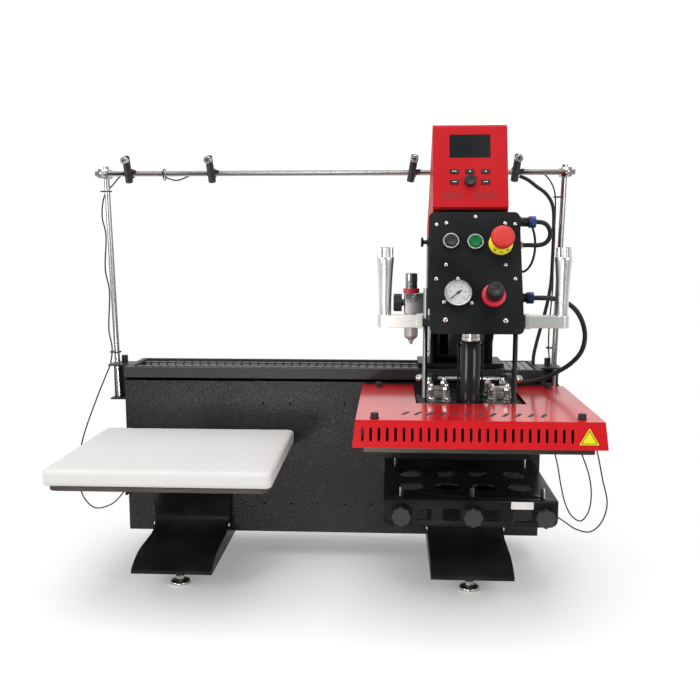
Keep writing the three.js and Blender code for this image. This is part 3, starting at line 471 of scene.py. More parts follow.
def mix_finish(name, colour, rough, skin="powder_grain", scale=900.0, depth=0.00003,
               tones=0.12, metal=0.0, coat=0.0, coat_rough=0.15, specular=0.5, rubbed=0.15,
               dust=0.08, stretch=EVEN, zones=()):
    """A finish: one skin effect, rubbed marks and dust, and zones of another colour.
    A zone is (low corner, high corner, colour, roughness, metallic)."""
    material = bpy.data.materials.new(name)
    material.use_nodes = True
    tree = material.node_tree
    shader = tree.nodes["Principled BSDF"]
    place = put(tree, "TexCoord").outputs["Object"]
    facing = put(tree, "NewGeometry").outputs["Normal"]
    surface = use(tree, skin, {"Place": place, "Scale": scale, "Stretch": stretch})
    marks = use(tree, "rubbed_marks", {"Place": place, "Amount": rubbed})["Mask"]
    lint = use(tree, "settled_dust", {"Place": place, "Facing": facing, "Amount": dust})["Mask"]
    dark = (*[c * (1 - tones) for c in colour], 1)
    pale = (*[min(1, c * (1 + tones) + 0.15 * tones * (1 - c)) for c in colour], 1)
    tone = mix_tones(tree, surface["Tone"], dark, pale)
    roughness = spread(tree, surface["Tone"], 0.0, 1.0, rough * 0.9, min(1.0, rough * 1.1))
    shine = metal
    for low, high, zone_colour, zone_rough, zone_metal in zones:
        inside = use(tree, "zone", {"Place": place, "Low": low, "High": high})["Mask"]
        worn_zone = mix_tones(tree, surface["Tone"], (*[c * 0.88 for c in zone_colour], 1),
                              (*zone_colour, 1))
        tone = mix_tones(tree, inside, tone, worn_zone)
        roughness = mix_amounts(tree, inside, roughness, zone_rough)
        shine = mix_amounts(tree, inside, shine, zone_metal)
    rubbed_tone = (*[c * 0.7 + 0.3 * max(0.25, c) for c in colour], 1)
    tone = mix_tones(tree, marks, tone, rubbed_tone)
    tone = mix_tones(tree, lint, tone, (0.42, 0.41, 0.39, 1))
    wire(tree, tone, shader.inputs["Base Color"])
    roughness = mix_amounts(tree, marks, roughness, rough * 0.75)
    wire(tree, mix_amounts(tree, lint, roughness, 0.85), shader.inputs["Roughness"])
    wire(tree, shine, shader.inputs["Metallic"])
    bump = put(tree, "Bump", {"Height": surface["Height"], "Strength": 0.6, "Distance": depth})
    wire(tree, bump.outputs["Normal"], shader.inputs["Normal"])
    shader.inputs["Coat Weight"].default_value = coat
    shader.inputs["Coat Roughness"].default_value = coat_rough
    shader.inputs["Specular IOR Level"].default_value = specular
    return material


STEEL = (0.62, 0.61, 0.59)
BRIGHT = (0.80, 0.79, 0.77)

hammered_black = mix_finish("hammered_black", (0.0040, 0.0038, 0.0040), 0.30,
                            "hammered_skin", 330.0, 0.0012, 0.25, specular=0.18, rubbed=0.04,
                            dust=0.0)
tray_black = mix_finish("tray_black", (0.0100, 0.0096, 0.0100), 0.42,
                        "hammered_skin", 420.0, 0.0008, 0.2, specular=0.35, dust=0.06)
satin_black = mix_finish("satin_black", (0.0012, 0.0012, 0.0015), 0.34,
                         depth=0.00005, specular=0.10, rubbed=0.05, dust=0.0)
table_black = mix_finish(
    "table_black", (0.0018, 0.0018, 0.0021), 0.24, depth=0.00003, specular=0.16,
    dust=0.0,
    zones=[((0.15, -0.20, 0.2825), (0.56, 0.10, 0.31), BRIGHT, 0.22, 1.0)],
)
panel_black = mix_finish("panel_black", (0.0022, 0.0036, 0.0042), 0.46,
                         depth=0.00002, scale=1500.0, specular=0.06, rubbed=0.04, dust=0.0)
frame_black = mix_finish(
    "frame_black", (0.0060, 0.0060, 0.0065), 0.36, depth=0.00005, specular=0.35,
    zones=[((0.4903, -0.06, 0.70), (0.52, 0.0, 0.95), (0.028, 0.060, 0.190), 0.38, 0.0),
           ((0.4686, -0.03, 0.78), (0.49, 0.03, 0.94), STEEL, 0.3, 1.0),
           ((0.25, -0.16, 0.668), (0.46, 0.0, 0.6895), (0.014, 0.014, 0.015), 0.4, 0.0)],
)
head_black = mix_finish(
    "head_black", (0.0060, 0.0066, 0.0072), 0.28, depth=0.00004, specular=0.35,
    zones=[((0.235, -0.088, 0.4962), (0.252, -0.062, 0.77), (0.32, 0.32, 0.32), 0.28, 1.0),
           ((0.25, -0.085, 0.4870), (0.455, 0.035, 0.51), BRIGHT, 0.18, 1.0)],
)
ram_black = mix_finish(
    "ram_black", (0.0030, 0.0030, 0.0034), 0.14, "powder_grain", 500.0,
    0.00003, specular=0.3, rubbed=0.05,
    zones=[((0.30, -0.13, 0.6375), (0.41, -0.05, 0.66), BRIGHT, 0.25, 1.0)],
)
cover_red = mix_finish("cover_red", (0.56, 0.0020, 0.0075), 0.34, scale=260.0,
                       depth=0.00006, tones=0.04, specular=0.08, coat=0.85, coat_rough=0.14,
                       rubbed=0.0, dust=0.0)
hood_red = mix_finish("hood_red", (0.455, 0.0070, 0.0115), 0.42, scale=260.0,
                      depth=0.00006, tones=0.04, specular=0.12, rubbed=0.0, dust=0.0)
milled = mix_finish("milled", (0.80, 0.80, 0.775), 0.36, "tool_marks", 24.0,
                    0.00006, 0.12, metal=1.0, stretch=(1.0, 14.0, 40.0), dust=0.03)
turned_bright = mix_finish("turned_bright", (0.80, 0.80, 0.78), 0.30, "tool_marks",
                           30.0, 0.00004, 0.08, metal=1.0, stretch=(1.0, 1.0, 60.0),
                           rubbed=0.05, dust=0.0)
polished = mix_finish("polished", (0.52, 0.52, 0.515), 0.22, "tool_marks", 30.0,
                      0.00002, 0.10, metal=1.0, stretch=(40.0, 1.0, 1.0), dust=0.0, rubbed=0.0)
pole_steel = mix_finish("pole_steel", (0.30, 0.29, 0.28), 0.28, "tool_marks", 30.0,
                        0.00002, 0.12, metal=1.0, stretch=(1.0, 1.0, 50.0), dust=0.0,
                        rubbed=0.0)
bright_screw = mix_finish("bright_screw", (0.60, 0.59, 0.57), 0.24, scale=700.0,
                          depth=0.00002, metal=1.0, tones=0.08, dust=0.0)
foot_steel = mix_finish(
    "foot_steel", (0.50, 0.49, 0.45), 0.26, "tool_marks", 40.0, 0.00004, 0.15,
    metal=1.0, stretch=(1.0, 1.0, 30.0), dust=0.0,
    zones=[((-0.5, -0.2, -0.001), (0.5, 0.4, 0.0042), (0.70, 0.69, 0.66), 0.5, 0.0)],
)
heater_plate = mix_finish("heater_plate", (0.075, 0.070, 0.064), 0.46,
                          "tool_marks", 20.0, 0.00005, 0.2, metal=1.0,
                          stretch=(1.0, 30.0, 30.0), dust=0.0)
rail_steel = mix_finish("rail_steel", (0.11, 0.11, 0.11), 0.40, "tool_marks", 20.0,
                        0.00004, 0.2, metal=1.0, stretch=(1.0, 30.0, 30.0), dust=0.15)
cast_metal = mix_finish("cast_metal", (0.30, 0.30, 0.30), 0.28, scale=500.0,
                        depth=0.00008, metal=1.0, tones=0.2)
bowl_metal = mix_finish("bowl_metal", (0.52, 0.53, 0.54), 0.42, scale=600.0,
                        depth=0.00004, metal=0.55, tones=0.08)
way_grey = mix_finish("way_grey", (0.24, 0.26, 0.26), 0.5, scale=700.0,
                      depth=0.00004, metal=0.3, dust=0.25)
pad_cover = mix_finish("pad_cover", (0.625, 0.620, 0.610), 0.88, "cover_weave",
                       420.0, 0.00012, 0.03, specular=0.25, rubbed=0.03, dust=0.0)
board_brown = mix_finish("board_brown", (0.034, 0.023, 0.016), 0.62,
                         "tool_marks", 16.0, 0.0001, 0.25, stretch=(1.0, 18.0, 18.0), dust=0.0)
moulded_black = mix_finish("moulded_black", (0.0065, 0.0065, 0.0070), 0.42,
                           scale=1200.0, depth=0.00005, specular=0.35, dust=0.03)
knob_grey = mix_finish("knob_grey", (0.026, 0.025, 0.029), 0.55, scale=900.0,
                       depth=0.00006, specular=0.3)
stop_red = mix_finish("stop_red", (0.56, 0.028, 0.024), 0.42, scale=1100.0,
                      depth=0.00004, specular=0.3, tones=0.05, rubbed=0.04, dust=0.02)
collar_red = mix_finish("collar_red", (0.62, 0.020, 0.045), 0.36, scale=1100.0,
                        depth=0.00003, tones=0.06, rubbed=0.04)
start_green = mix_finish("start_green", (0.0005, 0.14, 0.036), 0.40,
                         scale=1100.0, specular=0.12, depth=0.00003, tones=0.08, rubbed=0.03)
ring_yellow = mix_finish("ring_yellow", (0.78, 0.70, 0.010), 0.42, scale=1100.0,
                         depth=0.00003, specular=0.3, tones=0.05, rubbed=0.04)
matt_jacket = mix_finish("matt_jacket", (0.0065, 0.0065, 0.0070), 0.48,
                         scale=1500.0, depth=0.00003, specular=0.35, dust=0.0)
wire_jacket = mix_finish("wire_jacket", (0.022, 0.021, 0.021), 0.50,
                         scale=1500.0, depth=0.00002, specular=0.3, dust=0.0)
dial_white = mix_finish("dial_white", (0.86, 0.87, 0.88), 0.45, scale=900.0,
                        depth=0.00001, tones=0.02, rubbed=0.0, dust=0.0)
# Near-black for print, the needle and small dark parts; also used as painted shade in the rail
# holes and the cover's vent slots.
ink_and_painted_shade = mix_finish("ink_and_painted_shade", (0.012, 0.012, 0.014), 0.6, scale=900.0,
                      depth=0.00001, rubbed=0.0, dust=0.0)
print_red = mix_finish("print_red", (0.085, 0.006, 0.008), 0.5, scale=900.0,
                       depth=0.00001, rubbed=0.0, dust=0.0)
screen_glass = mix_finish("screen_glass", (0.0035, 0.0065, 0.0070), 0.24,
                          scale=500.0, depth=0.000004, specular=0.12, rubbed=0.02, dust=0.0)
label_white = mix_finish("label_white", (0.72, 0.71, 0.69), 0.45, scale=700.0,
                         depth=0.00001, tones=0.03, dust=0.0)
brass_pin = mix_finish("brass_pin", (0.72, 0.55, 0.28), 0.3, scale=700.0,
                       depth=0.00002, metal=1.0)


def clear_glass():
    material = bpy.data.materials.new("clear_glass")
    material.use_nodes = True
    tree = material.node_tree
    shader = tree.nodes["Principled BSDF"]
    place = put(tree, "TexCoord").outputs["Object"]
    smear = use(tree, "rubbed_marks", {"Place": place, "Amount": 0.15})["Mask"]
    wire(tree, spread(tree, smear, 0.0, 1.0, 0.02, 0.14), shader.inputs["Roughness"])
    shader.inputs["Base Color"].default_value = (1, 1, 1, 1)
    shader.inputs["Transmission Weight"].default_value = 1.0
    shader.inputs["IOR"].default_value = 1.45
    return material


lens_glass = clear_glass()
for cord in HOSES:
    cord.data.materials.append(matt_jacket)
for cord in LEADS:
    cord.data.materials.append(wire_jacket)


def lay_floor():
    floor_paint = bpy.data.materials.new("floor_paint")
    floor_paint.use_nodes = True
    tree = floor_paint.node_tree
    shader = tree.nodes["Principled BSDF"]
    place = put(tree, "TexCoord").outputs["Object"]
    soft = use(tree, "powder_grain", {"Place": place, "Scale": 60.0})
    wire(tree, mix_tones(tree, soft["Tone"], (0.96, 0.96, 0.962, 1), (0.975, 0.975, 0.975, 1)),
         shader.inputs["Base Color"])
    shader.inputs["Roughness"].default_value = 0.8
    shader.inputs["Specular IOR Level"].default_value = 0.2
    reach = put(tree, "VectorMath", operation="LENGTH")
    wire(tree, place, reach.inputs[0])
    paper = put(tree, "Emission")
    seen = put(tree, "LightPath").outputs["Is Camera Ray"]
    depth = put(tree, "SeparateXYZ", {"Vector": place}).outputs["Y"]
    room = spread(tree, depth, -1.2, 0.4, 0.25, 0.90)
    wire(tree, spread(tree, seen, 0.0, 1.0, room, 1.0), paper.inputs["Strength"])
    fade = put(tree, "MixShader")
    wire(tree, spread(tree, reach.outputs["Value"], 0.55, 1.15, 0.20, 1.0), fade.inputs[0])
    wire(tree, shader.outputs["BSDF"], fade.inputs[1])
    wire(tree, paper.outputs["Emission"], fade.inputs[2])
    wire(tree, fade.outputs["Shader"], tree.nodes["Material Output"].inputs["Surface"])
    bm = bmesh.new()
    bmesh.ops.create_grid(bm, x_segments=4, y_segments=4, size=60)
    mesh = bpy.data.meshes.new("floor")
    bm.to_mesh(mesh)
    bm.free()
    mesh.materials.append(floor_paint)
    new_object("floor", mesh)


lay_floor()


# ---- shaping tools ------------------------------------------------------------------

HERE = Matrix.Identity(4)


def along(start, end):
    """A frame whose Z runs from start to end."""
    start, end = Vector(start), Vector(end)
    turn = (end - start).to_track_quat("Z", "Y").to_matrix().to_4x4()
    return Matrix.Translation(start) @ turn


def rise(edge):
    """How far an edge climbs."""
    a, b = edge.verts
    return abs(a.co.z - b.co.z)


def round_off(bm, edges, radius, segments):
    bmesh.ops.bevel(bm, geom=list(edges), offset=radius, offset_type="OFFSET",
                    segments=segments, profile=0.5, affect="EDGES", material=-1)


def block_in(bm, low, high, at=HERE):
    low, high = Vector(low), Vector(high)
    size = Matrix.Diagonal((*(high - low), 1))
    made = bmesh.ops.create_cube(bm, size=1, matrix=Matrix.Translation((low + high) / 2) @ size)
    bmesh.ops.transform(bm, matrix=at, verts=made["verts"])
    return made["verts"]


def rounded_in(bm, low, high, radius, at=HERE, corners=8):
    """A plate with its four corners rounded in the X and Y plane of its own frame."""
    corner_edges = set()
    made = block_in(bm, low, high)
    for vertex in made:
        for edge in vertex.link_edges:
            a, b = edge.verts
            if abs(a.co.x - b.co.x) < 1e-9 and abs(a.co.y - b.co.y) < 1e-9:
                corner_edges.add(edge)
    before = set(bm.verts) - set(made)
    round_off(bm, corner_edges, radius, corners)
    bmesh.ops.transform(bm, matrix=at, verts=[v for v in bm.verts if v not in before])


def turned_in(bm, profile, at=HERE, steps=40, closed=False):
    """A profile of (radius, height) points spun about its own Z axis."""
    before = set(bm.verts)
    points = [bm.verts.new((radius, 0, height)) for radius, height in profile]
    pairs = list(zip(points, points[1:])) + ([(points[-1], points[0])] if closed else [])
    edges = [bm.edges.new(pair) for pair in pairs]
    bmesh.ops.spin(bm, geom=points + edges, cent=(0, 0, 0), axis=(0, 0, 1), angle=2 * pi,
                   steps=steps, use_merge=True)
    made = [v for v in bm.verts if v not in before]
    bmesh.ops.remove_doubles(bm, verts=made, dist=1e-6)
    made = [v for v in bm.verts if v not in before]
    faces = list({f for v in made for f in v.link_faces})
    bmesh.ops.recalc_face_normals(bm, faces=faces)
    bmesh.ops.transform(bm, matrix=at, verts=made)


def rod_in(bm, radius, low, high, at=HERE, sides=32):
    made = bmesh.ops.create_cone(
        bm, cap_ends=True, segments=sides, radius1=radius, radius2=radius, depth=high - low,
        matrix=Matrix.Translation((0, 0, (low + high) / 2)),
    )
    bmesh.ops.transform(bm, matrix=at, verts=made["verts"])


def fluted_in(bm, radius, depth, count, low, high, at=HERE, per_flute=6, power=1.0):
    """An upright round bar with count flutes of that depth around it."""
    made = bmesh.ops.create_circle(bm, cap_ends=True, segments=count * per_flute, radius=1)["verts"]
    for i, vertex in enumerate(made):
        wave = 0.5 + 0.5 * cos(2 * pi * i / per_flute)
        vertex.co.xy = vertex.co.xy.normalized() * (radius - depth * (1 - wave) ** power)
        vertex.co.z = low
    face = made[0].link_faces[0]
    raised = bmesh.ops.extrude_face_region(bm, geom=[face], use_keep_orig=True)["geom"]
    lifted = [g for g in raised if isinstance(g, bmesh.types.BMVert)]
    bmesh.ops.translate(bm, vec=(0, 0, high - low), verts=lifted)
    faces = list({f for v in made + lifted for f in v.link_faces})
    bmesh.ops.recalc_face_normals(bm, faces=faces)
    bmesh.ops.transform(bm, matrix=at, verts=made + lifted)


def piece(name, bm, finish, body, ease=0.0, nodes=(), sharp=40):
    """Makes the shape a piece of the press, with its edges eased, on the body that carries it."""
    mesh = bpy.data.meshes.new(name)
    bm.to_mesh(mesh)
    bm.free()
    mesh.materials.append(finish)
    shade_smooth(mesh)
    mesh.set_sharp_from_angle(angle=radians(sharp))
    made = new_object(name, mesh)
    if ease:
        edge = made.modifiers.new("eased", "BEVEL")
        edge.width = ease
        edge.segments = 2
        edge.limit_method = "ANGLE"
        edge.angle_limit = radians(50)
        edge.use_clamp_overlap = False
        edge.harden_normals = True
    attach(made, body)
    if nodes:
        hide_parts(*nodes)
    return made


def spun(name, finish, body, profile, at, steps, closed=False, ease=0.0, nodes=()):
    """A piece that is one turned profile."""
    bm = bmesh.new()
    turned_in(bm, profile, at, steps, closed)
    piece(name, bm, finish, body, ease, nodes)


def finish_node(node, finish):
    """Gives a CAD node its finish and keeps its shape."""
    solid = frame["nodes"][node]
    for i in range(len(solid.data.materials)):
        solid.material_slots[i].link = "OBJECT"
        solid.material_slots[i].material = finish


def eased_node(node, finish, ease=0.0, sharp=40):
    """The CAD solid with smooth round sides. Where ease is given, its flat faces are made whole
    and its edges eased."""
    bm = bmesh.new()
    bm.from_mesh(frame["nodes"][node].data)
    bmesh.ops.remove_doubles(bm, verts=bm.verts, dist=2e-6)
    bmesh.ops.dissolve_degenerate(bm, edges=bm.edges, dist=1e-5)
    if ease:
        bmesh.ops.dissolve_limit(bm, angle_limit=radians(0.6), use_dissolve_boundaries=False,
                                 verts=bm.verts, edges=bm.edges)
    finish_node(node, finish)
    piece(node + "_eased", bm, finish, frame["nodes"][node]["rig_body"], ease, [node], sharp)


def button_heads(name, spots, at, radius, body, finish=bright_screw):
    """Round screw heads with a socket, all in one piece."""
    bm = bmesh.new()
    for u, v in spots:
        turned_in(bm, [
            (0, radius * 0.22), (radius * 0.36, radius * 0.22), (radius * 0.40, radius * 0.50),
            (radius * 0.70, radius * 0.46), (radius * 0.93, radius * 0.28), (radius, radius * 0.06),
            (radius, -0.0004), (0, -0.0004),
        ], at @ Matrix.Translation((u, v, 0)), 20)
    piece(name, bm, finish, body)


# ---- the foam pad -------------------------------------------------------------------

def swell(cover, cap):
    """Lets the cover fill with air, and holds every point within cap of where it began."""
    start = [vertex.co.copy() for vertex in cover.data.vertices]
    air = cover.modifiers.new("air", "CLOTH")
    air.settings.use_pressure = True
    air.settings.uniform_pressure_force = 4
    air.settings.effector_weights.gravity = 0
    for step in range(1, 21):
        SCENE.frame_set(step)
    filled = cover.evaluated_get(bpy.context.evaluated_depsgraph_get()).to_mesh()
    after = [vertex.co.copy() for vertex in filled.vertices]
    cover.modifiers.remove(air)
    SCENE.frame_set(1)
    for vertex, old, new in zip(cover.data.vertices, start, after):
        shift = new - old
        if shift.length > cap:
            shift.length = cap
        vertex.co = old + shift


def foam_pad():
    low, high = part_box("pad")
    inset = Vector((0.0010, 0.0010, 0.0008))
    bm = bmesh.new()
    rounded_in(bm, low + inset, high - inset, 0.015, corners=6)
    round_off(bm, [edge for edge in bm.edges if rise(edge) < 1e-6], 0.004, 4)
    pad = piece("foam_pad", bm, pad_cover, "base")
    remesh = pad.modifiers.new("even", "REMESH")
    remesh.mode = "VOXEL"
    remesh.voxel_size = 0.005
    even = worked_out(pad)
    pad.modifiers.clear()
    pad.data = even
    even.name = "foam_pad_cover"
    swell(pad, 0.0022)
    rest = low.z + 0.0006
    for vertex in pad.data.vertices:
        vertex.co.z = max(vertex.co.z, rest)
    bm = bmesh.new()
    bm.from_mesh(pad.data)
    for _ in range(2):
        bmesh.ops.smooth_vert(bm, verts=bm.verts, factor=0.5, use_axis_x=True,
                              use_axis_y=True, use_axis_z=True)
    bm.to_mesh(pad.data)
    bm.free()
    shade_smooth(pad.data)
    fine = pad.modifiers.new("fine", "SUBSURF")
    fine.levels = fine.render_levels = 1
    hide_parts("pad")


foam_pad()
eased_node("pad_board", board_brown, 0.0012)


# ---- base, tray and legs ------------------------------------------------------------

eased_node("base_frame", hammered_black, sharp=14)
eased_node("front_panel", hammered_black, sharp=14)
eased_node("top_tray", tray_black, 0.0012)
eased_node("rail_bed", rail_steel, 0.0004)
for side in ("left", "right"):
    eased_node("leg_" + side, satin_black, 0.0008)
    eased_node("pole_bracket_" + side, hammered_black, 0.0006)
    finish_node("pole_" + side, pole_steel)
eased_node("support_left", satin_black, 0.0010)
eased_node("support_right", table_black)


def rail_hole_shades():
    """Painted shade: flat dark discs, flush so that the trucks run over them, stand in for the
    shaded counterbores along both rails.
    """
    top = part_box("rail_bed")[1].z
    along_rail = [-0.528 + i * 0.024 for i in range(45)]
    bm = bmesh.new()
    for y in RAIL_Y:
        for x in along_rail:
            turned_in(bm, [(0, 0.00005), (0.0030, 0.00005), (0.0052, 0.00018), (0.0060, 0.00018),
                           (0.0060, -0.0006), (0, -0.0006)], Matrix.Translation((x, y, top)), 10)
    piece("rail_hole_shades", bm, ink_and_painted_shade, "base")
    bm = bmesh.new()
    block_in(bm, (-0.540, 0.2662, 0.5178), (0.540, 0.2684, 0.5243))
    piece("rail_strip", bm, way_grey, "base")
    # Dark discs on the strip's face: painted shade standing in for its holes.
    bm = bmesh.new()
    for x in along_rail:
        rod_in(bm, 0.0031, 0.0, 0.0006, along((x, 0.26665, 0.5210), (x, 0.2, 0.5210)), 12)
    piece("rail_strip_hole_shades", bm, ink_and_painted_shade, "base")


def drive_belt():
    """The toothed belt that draws the carriage along, between the rails."""
    bm = bmesh.new()
    block_in(bm, (-0.540, 0.226, 0.5152), (0.540, 0.246, 0.5170))
    for i in range(180):
        x = -0.537 + i * 0.006
        block_in(bm, (x, 0.2262, 0.5168), (x + 0.003, 0.2458, 0.5180))
    piece("drive_belt", bm, moulded_black, "base")


def way_slats():
    """Grey slats that close the tray beside the carriage."""
    bm = bmesh.new()
    for i in range(4):
        x = 0.4720 + i * 0.0195
        rounded_in(bm, (x, 0.164, 0.5276), (x + 0.0165, 0.308, 0.5290), 0.002, corners=3)
    piece("way_slats", bm, way_grey, "base", 0.0004)


def tray_rim_screws():
    spots = [(x, 0.3205) for x in (-0.54, -0.36, -0.18, 0.0, 0.18, 0.36, 0.54)]
    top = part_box("top_tray")[1].z
    button_heads("tray_rim_screws", spots, Matrix.Translation((0, 0, top)), 0.0038, "base")


def leg_screws():
    """A bright screw on each cheek of each leg."""
    number = 0
    for side in ("left", "right"):
        low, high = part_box("leg_" + side)
        for x, out in ((low.x, -0.1), (high.x, 0.1)):
            number += 1
            at = along((x, 0.100, 0.105), (x + out, 0.100, 0.105))
            button_heads(f"leg_screw_{number}", [(0, 0)], at, 0.0070, "base")


def rear_fittings():
    """Screws round the rear sheet, and the mains inlet in its recess."""
    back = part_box("base_frame")[1].y
    face = Matrix.Translation((0, back, 0)) @ Matrix.Rotation(radians(-90), 4, "X")
    spots = [(x, -z) for x in (-0.55, -0.275, 0.0, 0.275, 0.55) for z in (0.085, 0.485)]
    button_heads("rear_screws", spots, face, 0.0045, "base", moulded_black)
    bm = bmesh.new()
    block_in(bm, (INLET_X - 0.0288, 0.3203, 0.1212), (INLET_X + 0.0288, 0.3246, 0.1588))
    bm.faces.ensure_lookup_table()
    outer = max(bm.faces, key=lambda f: f.calc_center_median().y)
    bmesh.ops.inset_region(bm, faces=[outer], thickness=0.008)
    bmesh.ops.translate(bm, vec=(0, -0.0030, 0), verts=outer.verts)
    piece("mains_inlet", bm, moulded_black, "base", 0.0006)
    bm = bmesh.new()
    for dx, z in ((-0.007, 0.137), (0.007, 0.137), (0.0, 0.145)):
        x = INLET_X + dx
        block_in(bm, (x - 0.001, 0.3212, z - 0.002), (x + 0.001, 0.3240, z + 0.002))
    piece("inlet_pins", bm, brass_pin, "base", 0.0003)


rail_hole_shades()
drive_belt()
way_slats()
tray_rim_screws()
leg_screws()
rear_fittings()


def levelling_foot(number):
    low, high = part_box(f"levelling_foot_{number}")
    at = Matrix.Translation(((low.x + high.x) / 2, (low.y + high.y) / 2, 0))
    thread = []
    for i in range(17):
        z = 0.0242 + i * 0.0015
        thread += [(0.0061, z), (0.0069, z + 0.00075)]
    bm = bmesh.new()
    turned_in(bm, [
        (0, 0), (0.0256, 0), (0.0268, 0.0010), (0.0268, 0.0034), (0.0256, 0.0040), (0.0262, 0.0046),
        (0.0262, 0.0086), (0.0246, 0.0106), (0.0200, 0.0122), (0.0130, 0.0134), (0.0085, 0.0138),
        (0.0085, 0.0144), (0, 0.0144),
    ], at, 48)
    rod_in(bm, 0.0115, 0.0144, 0.0230, at, 6)
    turned_in(bm, [(0, 0.0232), (0.0061, 0.0232), *thread, (0.0061, high.z), (0, high.z)], at, 32)
    piece(f"screw_foot_{number}", bm, foot_steel, f"levelling_foot_{number}", 0.0004,
          [f"levelling_foot_{number}"])


def star_grip(number):
    low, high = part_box(f"star_knob_{number}")
    at = along(((low.x + high.x) / 2, high.y, STAR_Z), ((low.x + high.x) / 2, low.y, STAR_Z))
    deep = high.y - low.y
    bm = bmesh.new()
    fluted_in(bm, 0.0224, 0.0026, 8, deep - 0.0180, deep, at, 8)
    turned_in(bm, [(0, deep - 0.026), (0.0100, deep - 0.026), (0.0110, deep - 0.0175),
                   (0, deep - 0.0175)], at, 24)
    rod_in(bm, 0.0040, 0.0, deep - 0.0255, at, 16)
    piece(f"star_grip_{number}", bm, knob_grey, f"star_knob_{number}", 0.0020,
          [f"star_knob_{number}"])


for n in range(1, 5):
    levelling_foot(n)
for n in range(1, 4):
    star_grip(n)


def flange_plate():
    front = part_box("support_right")[0].y
    face = Matrix.Translation((0, front, 0)) @ Matrix.Rotation(radians(90), 4, "X")
    bm = bmesh.new()
    rounded_in(bm, (0.440, 0.2625, 0.0001), (0.491, 0.2800, 0.0006), 0.0015, face, 3)
    piece("flange_plate", bm, label_white, "base")


flange_plate()


# ---- laser gantry -------------------------------------------------------------------

eased_node("laser_bar", polished)


def pointer(number):
    """A pointing laser on its clamp: barrel, ring round the bar and a bright thumb screw."""
    x = LASER_X[number - 1]
    body = f"laser_{number}"
    lean = 0.006 if x < 0 else -0.006
    tail = Vector((x - lean, BAR_Y - 0.020, BAR_Z + 0.044))
    nose = Vector((x + lean, BAR_Y - 0.031, BAR_Z - 0.026))
    long = (tail - nose).length
    bm = bmesh.new()
    turned_in(bm, [
        (0, 0.0025), (0.0040, 0.0015), (0.0045, 0), (0.0085, 0), (0.0100, 0.0015), (0.0100, 0.014),
        (0.0093, 0.0148), (0.0093, 0.0165), (0.0100, 0.0173), (0.0100, 0.050), (0.0093, 0.0508),
        (0.0093, 0.0530), (0.0100, 0.0538), (0.0100, long - 0.0015), (0.0085, long), (0, long),
    ], along(nose, tail), 32)
    ring = along((x - 0.009, BAR_Y, BAR_Z), (x + 0.009, BAR_Y, BAR_Z))
    turned_in(bm, [(0.0078, 0), (0.0122, 0), (0.0130, 0.001), (0.0130, 0.017), (0.0122, 0.018),
                   (0.0078, 0.018)], ring, 32, True)
    block_in(bm, (x - 0.008, BAR_Y - 0.026, BAR_Z - 0.009),
             (x + 0.008, BAR_Y - 0.0085, BAR_Z + 0.011))
    rod_in(bm, 0.0045, 0, 0.013, along((x + 0.008, BAR_Y - 0.017, BAR_Z + 0.002),
                                      (x + 0.030, BAR_Y - 0.017, BAR_Z + 0.006)), 20)
    piece(f"pointer_{number}", bm, moulded_black, body, 0.0005, [body])
    head = (x - lean * 0.8, BAR_Y - 0.044, BAR_Z + 0.032)
    bm = bmesh.new()
    at = along((head[0], head[1] + 0.020, head[2]), head)
    fluted_in(bm, 0.0105, 0.0008, 24, 0.004, 0.0190, at, 4)
    turned_in(bm, [(0, 0.0178), (0.0030, 0.0178), (0.0034, 0.0200), (0.0085, 0.0200),
                   (0.0098, 0.0188), (0, 0.0188)], at, 32)
    piece(f"pointer_screw_{number}", bm, bright_screw, body, 0.0004)
    bm = bmesh.new()
    rod_in(bm, 0.0036, 0.0178, 0.0202, at, 20)
    piece(f"pointer_eye_{number}", bm, ink_and_painted_shade, body)


def ties():
    """Cable ties that hold the wires to the bar and the poles."""
    hoops = [((-0.459, 0.2195, 1.0520), (1, 0, 0)), ((-0.6285, 0.2350, 1.008), (0, 0, 1)),
             ((0.6140, 0.2400, 0.990), (0, 0, 1)), ((-0.6185, 0.2340, 0.560), (0, 0, 1)),
             ((0.6080, 0.2450, 0.578), (0, 0, 1))]
    bm = bmesh.new()
    for at, axis in hoops:
        middle = Vector(at)
        turned_in(bm, [(0.0150, -0.0014), (0.0161, -0.0014), (0.0161, 0.0014), (0.0150, 0.0014)],
                  along(middle, middle + Vector(axis)), 28, True)
    piece("cable_ties", bm, moulded_black, "base")


for n in range(1, 5):
    pointer(n)
ties()


# ---- carriage and column ------------------------------------------------------------

eased_node("carriage_plate", satin_black, 0.0008)
eased_node("head_frame", frame_black)
eased_node("air_cylinder", milled, 0.0008)


def side_plunger():
    """The black pull plunger on the valve box."""
    at = along((0.2565, 0.075, 0.869), (0.2, 0.075, 0.869))
    spun("side_plunger", moulded_black, "carriage", [
        (0, 0), (0.0100, 0), (0.0100, 0.0030), (0.0055, 0.0045), (0.0050, 0.0120),
        (0.0110, 0.0135), (0.0125, 0.0150), (0.0125, 0.0180), (0.0110, 0.0195), (0, 0.0195),
    ], at, 32)


def frame_screws():
    """Screws along both cheeks of the column."""
    left = along((0.2685, 0.0, 0.0), (0.0, 0.0, 0.0))
    right = along((0.4365, 0.0, 0.0), (1.0, 0.0, 0.0))
    for name, at in (("left_cheek_screws", left), ("right_cheek_screws", right)):
        spots = []
        for y, z in ((0.195, 0.565), (0.265, 0.565), (0.195, 0.640), (0.265, 0.640),
                     (0.265, 0.870)):
            local = at.inverted() @ Vector((at.translation.x, y, z))
            spots.append((local.x, local.y))
        button_heads(name, spots, at, 0.0050, "carriage")


side_plunger()
frame_screws()


# ---- hood ---------------------------------------------------------------------------

eased_node("hood", hood_red, sharp=14)


def display():
    bm = bmesh.new()
    rounded_in(bm, (-0.0495, 0.0215, -0.00115), (0.0485, 0.0800, -0.0002), 0.0010, HOOD_FACE, 3)
    piece("display_glass", bm, screen_glass, "carriage", 0.0002)


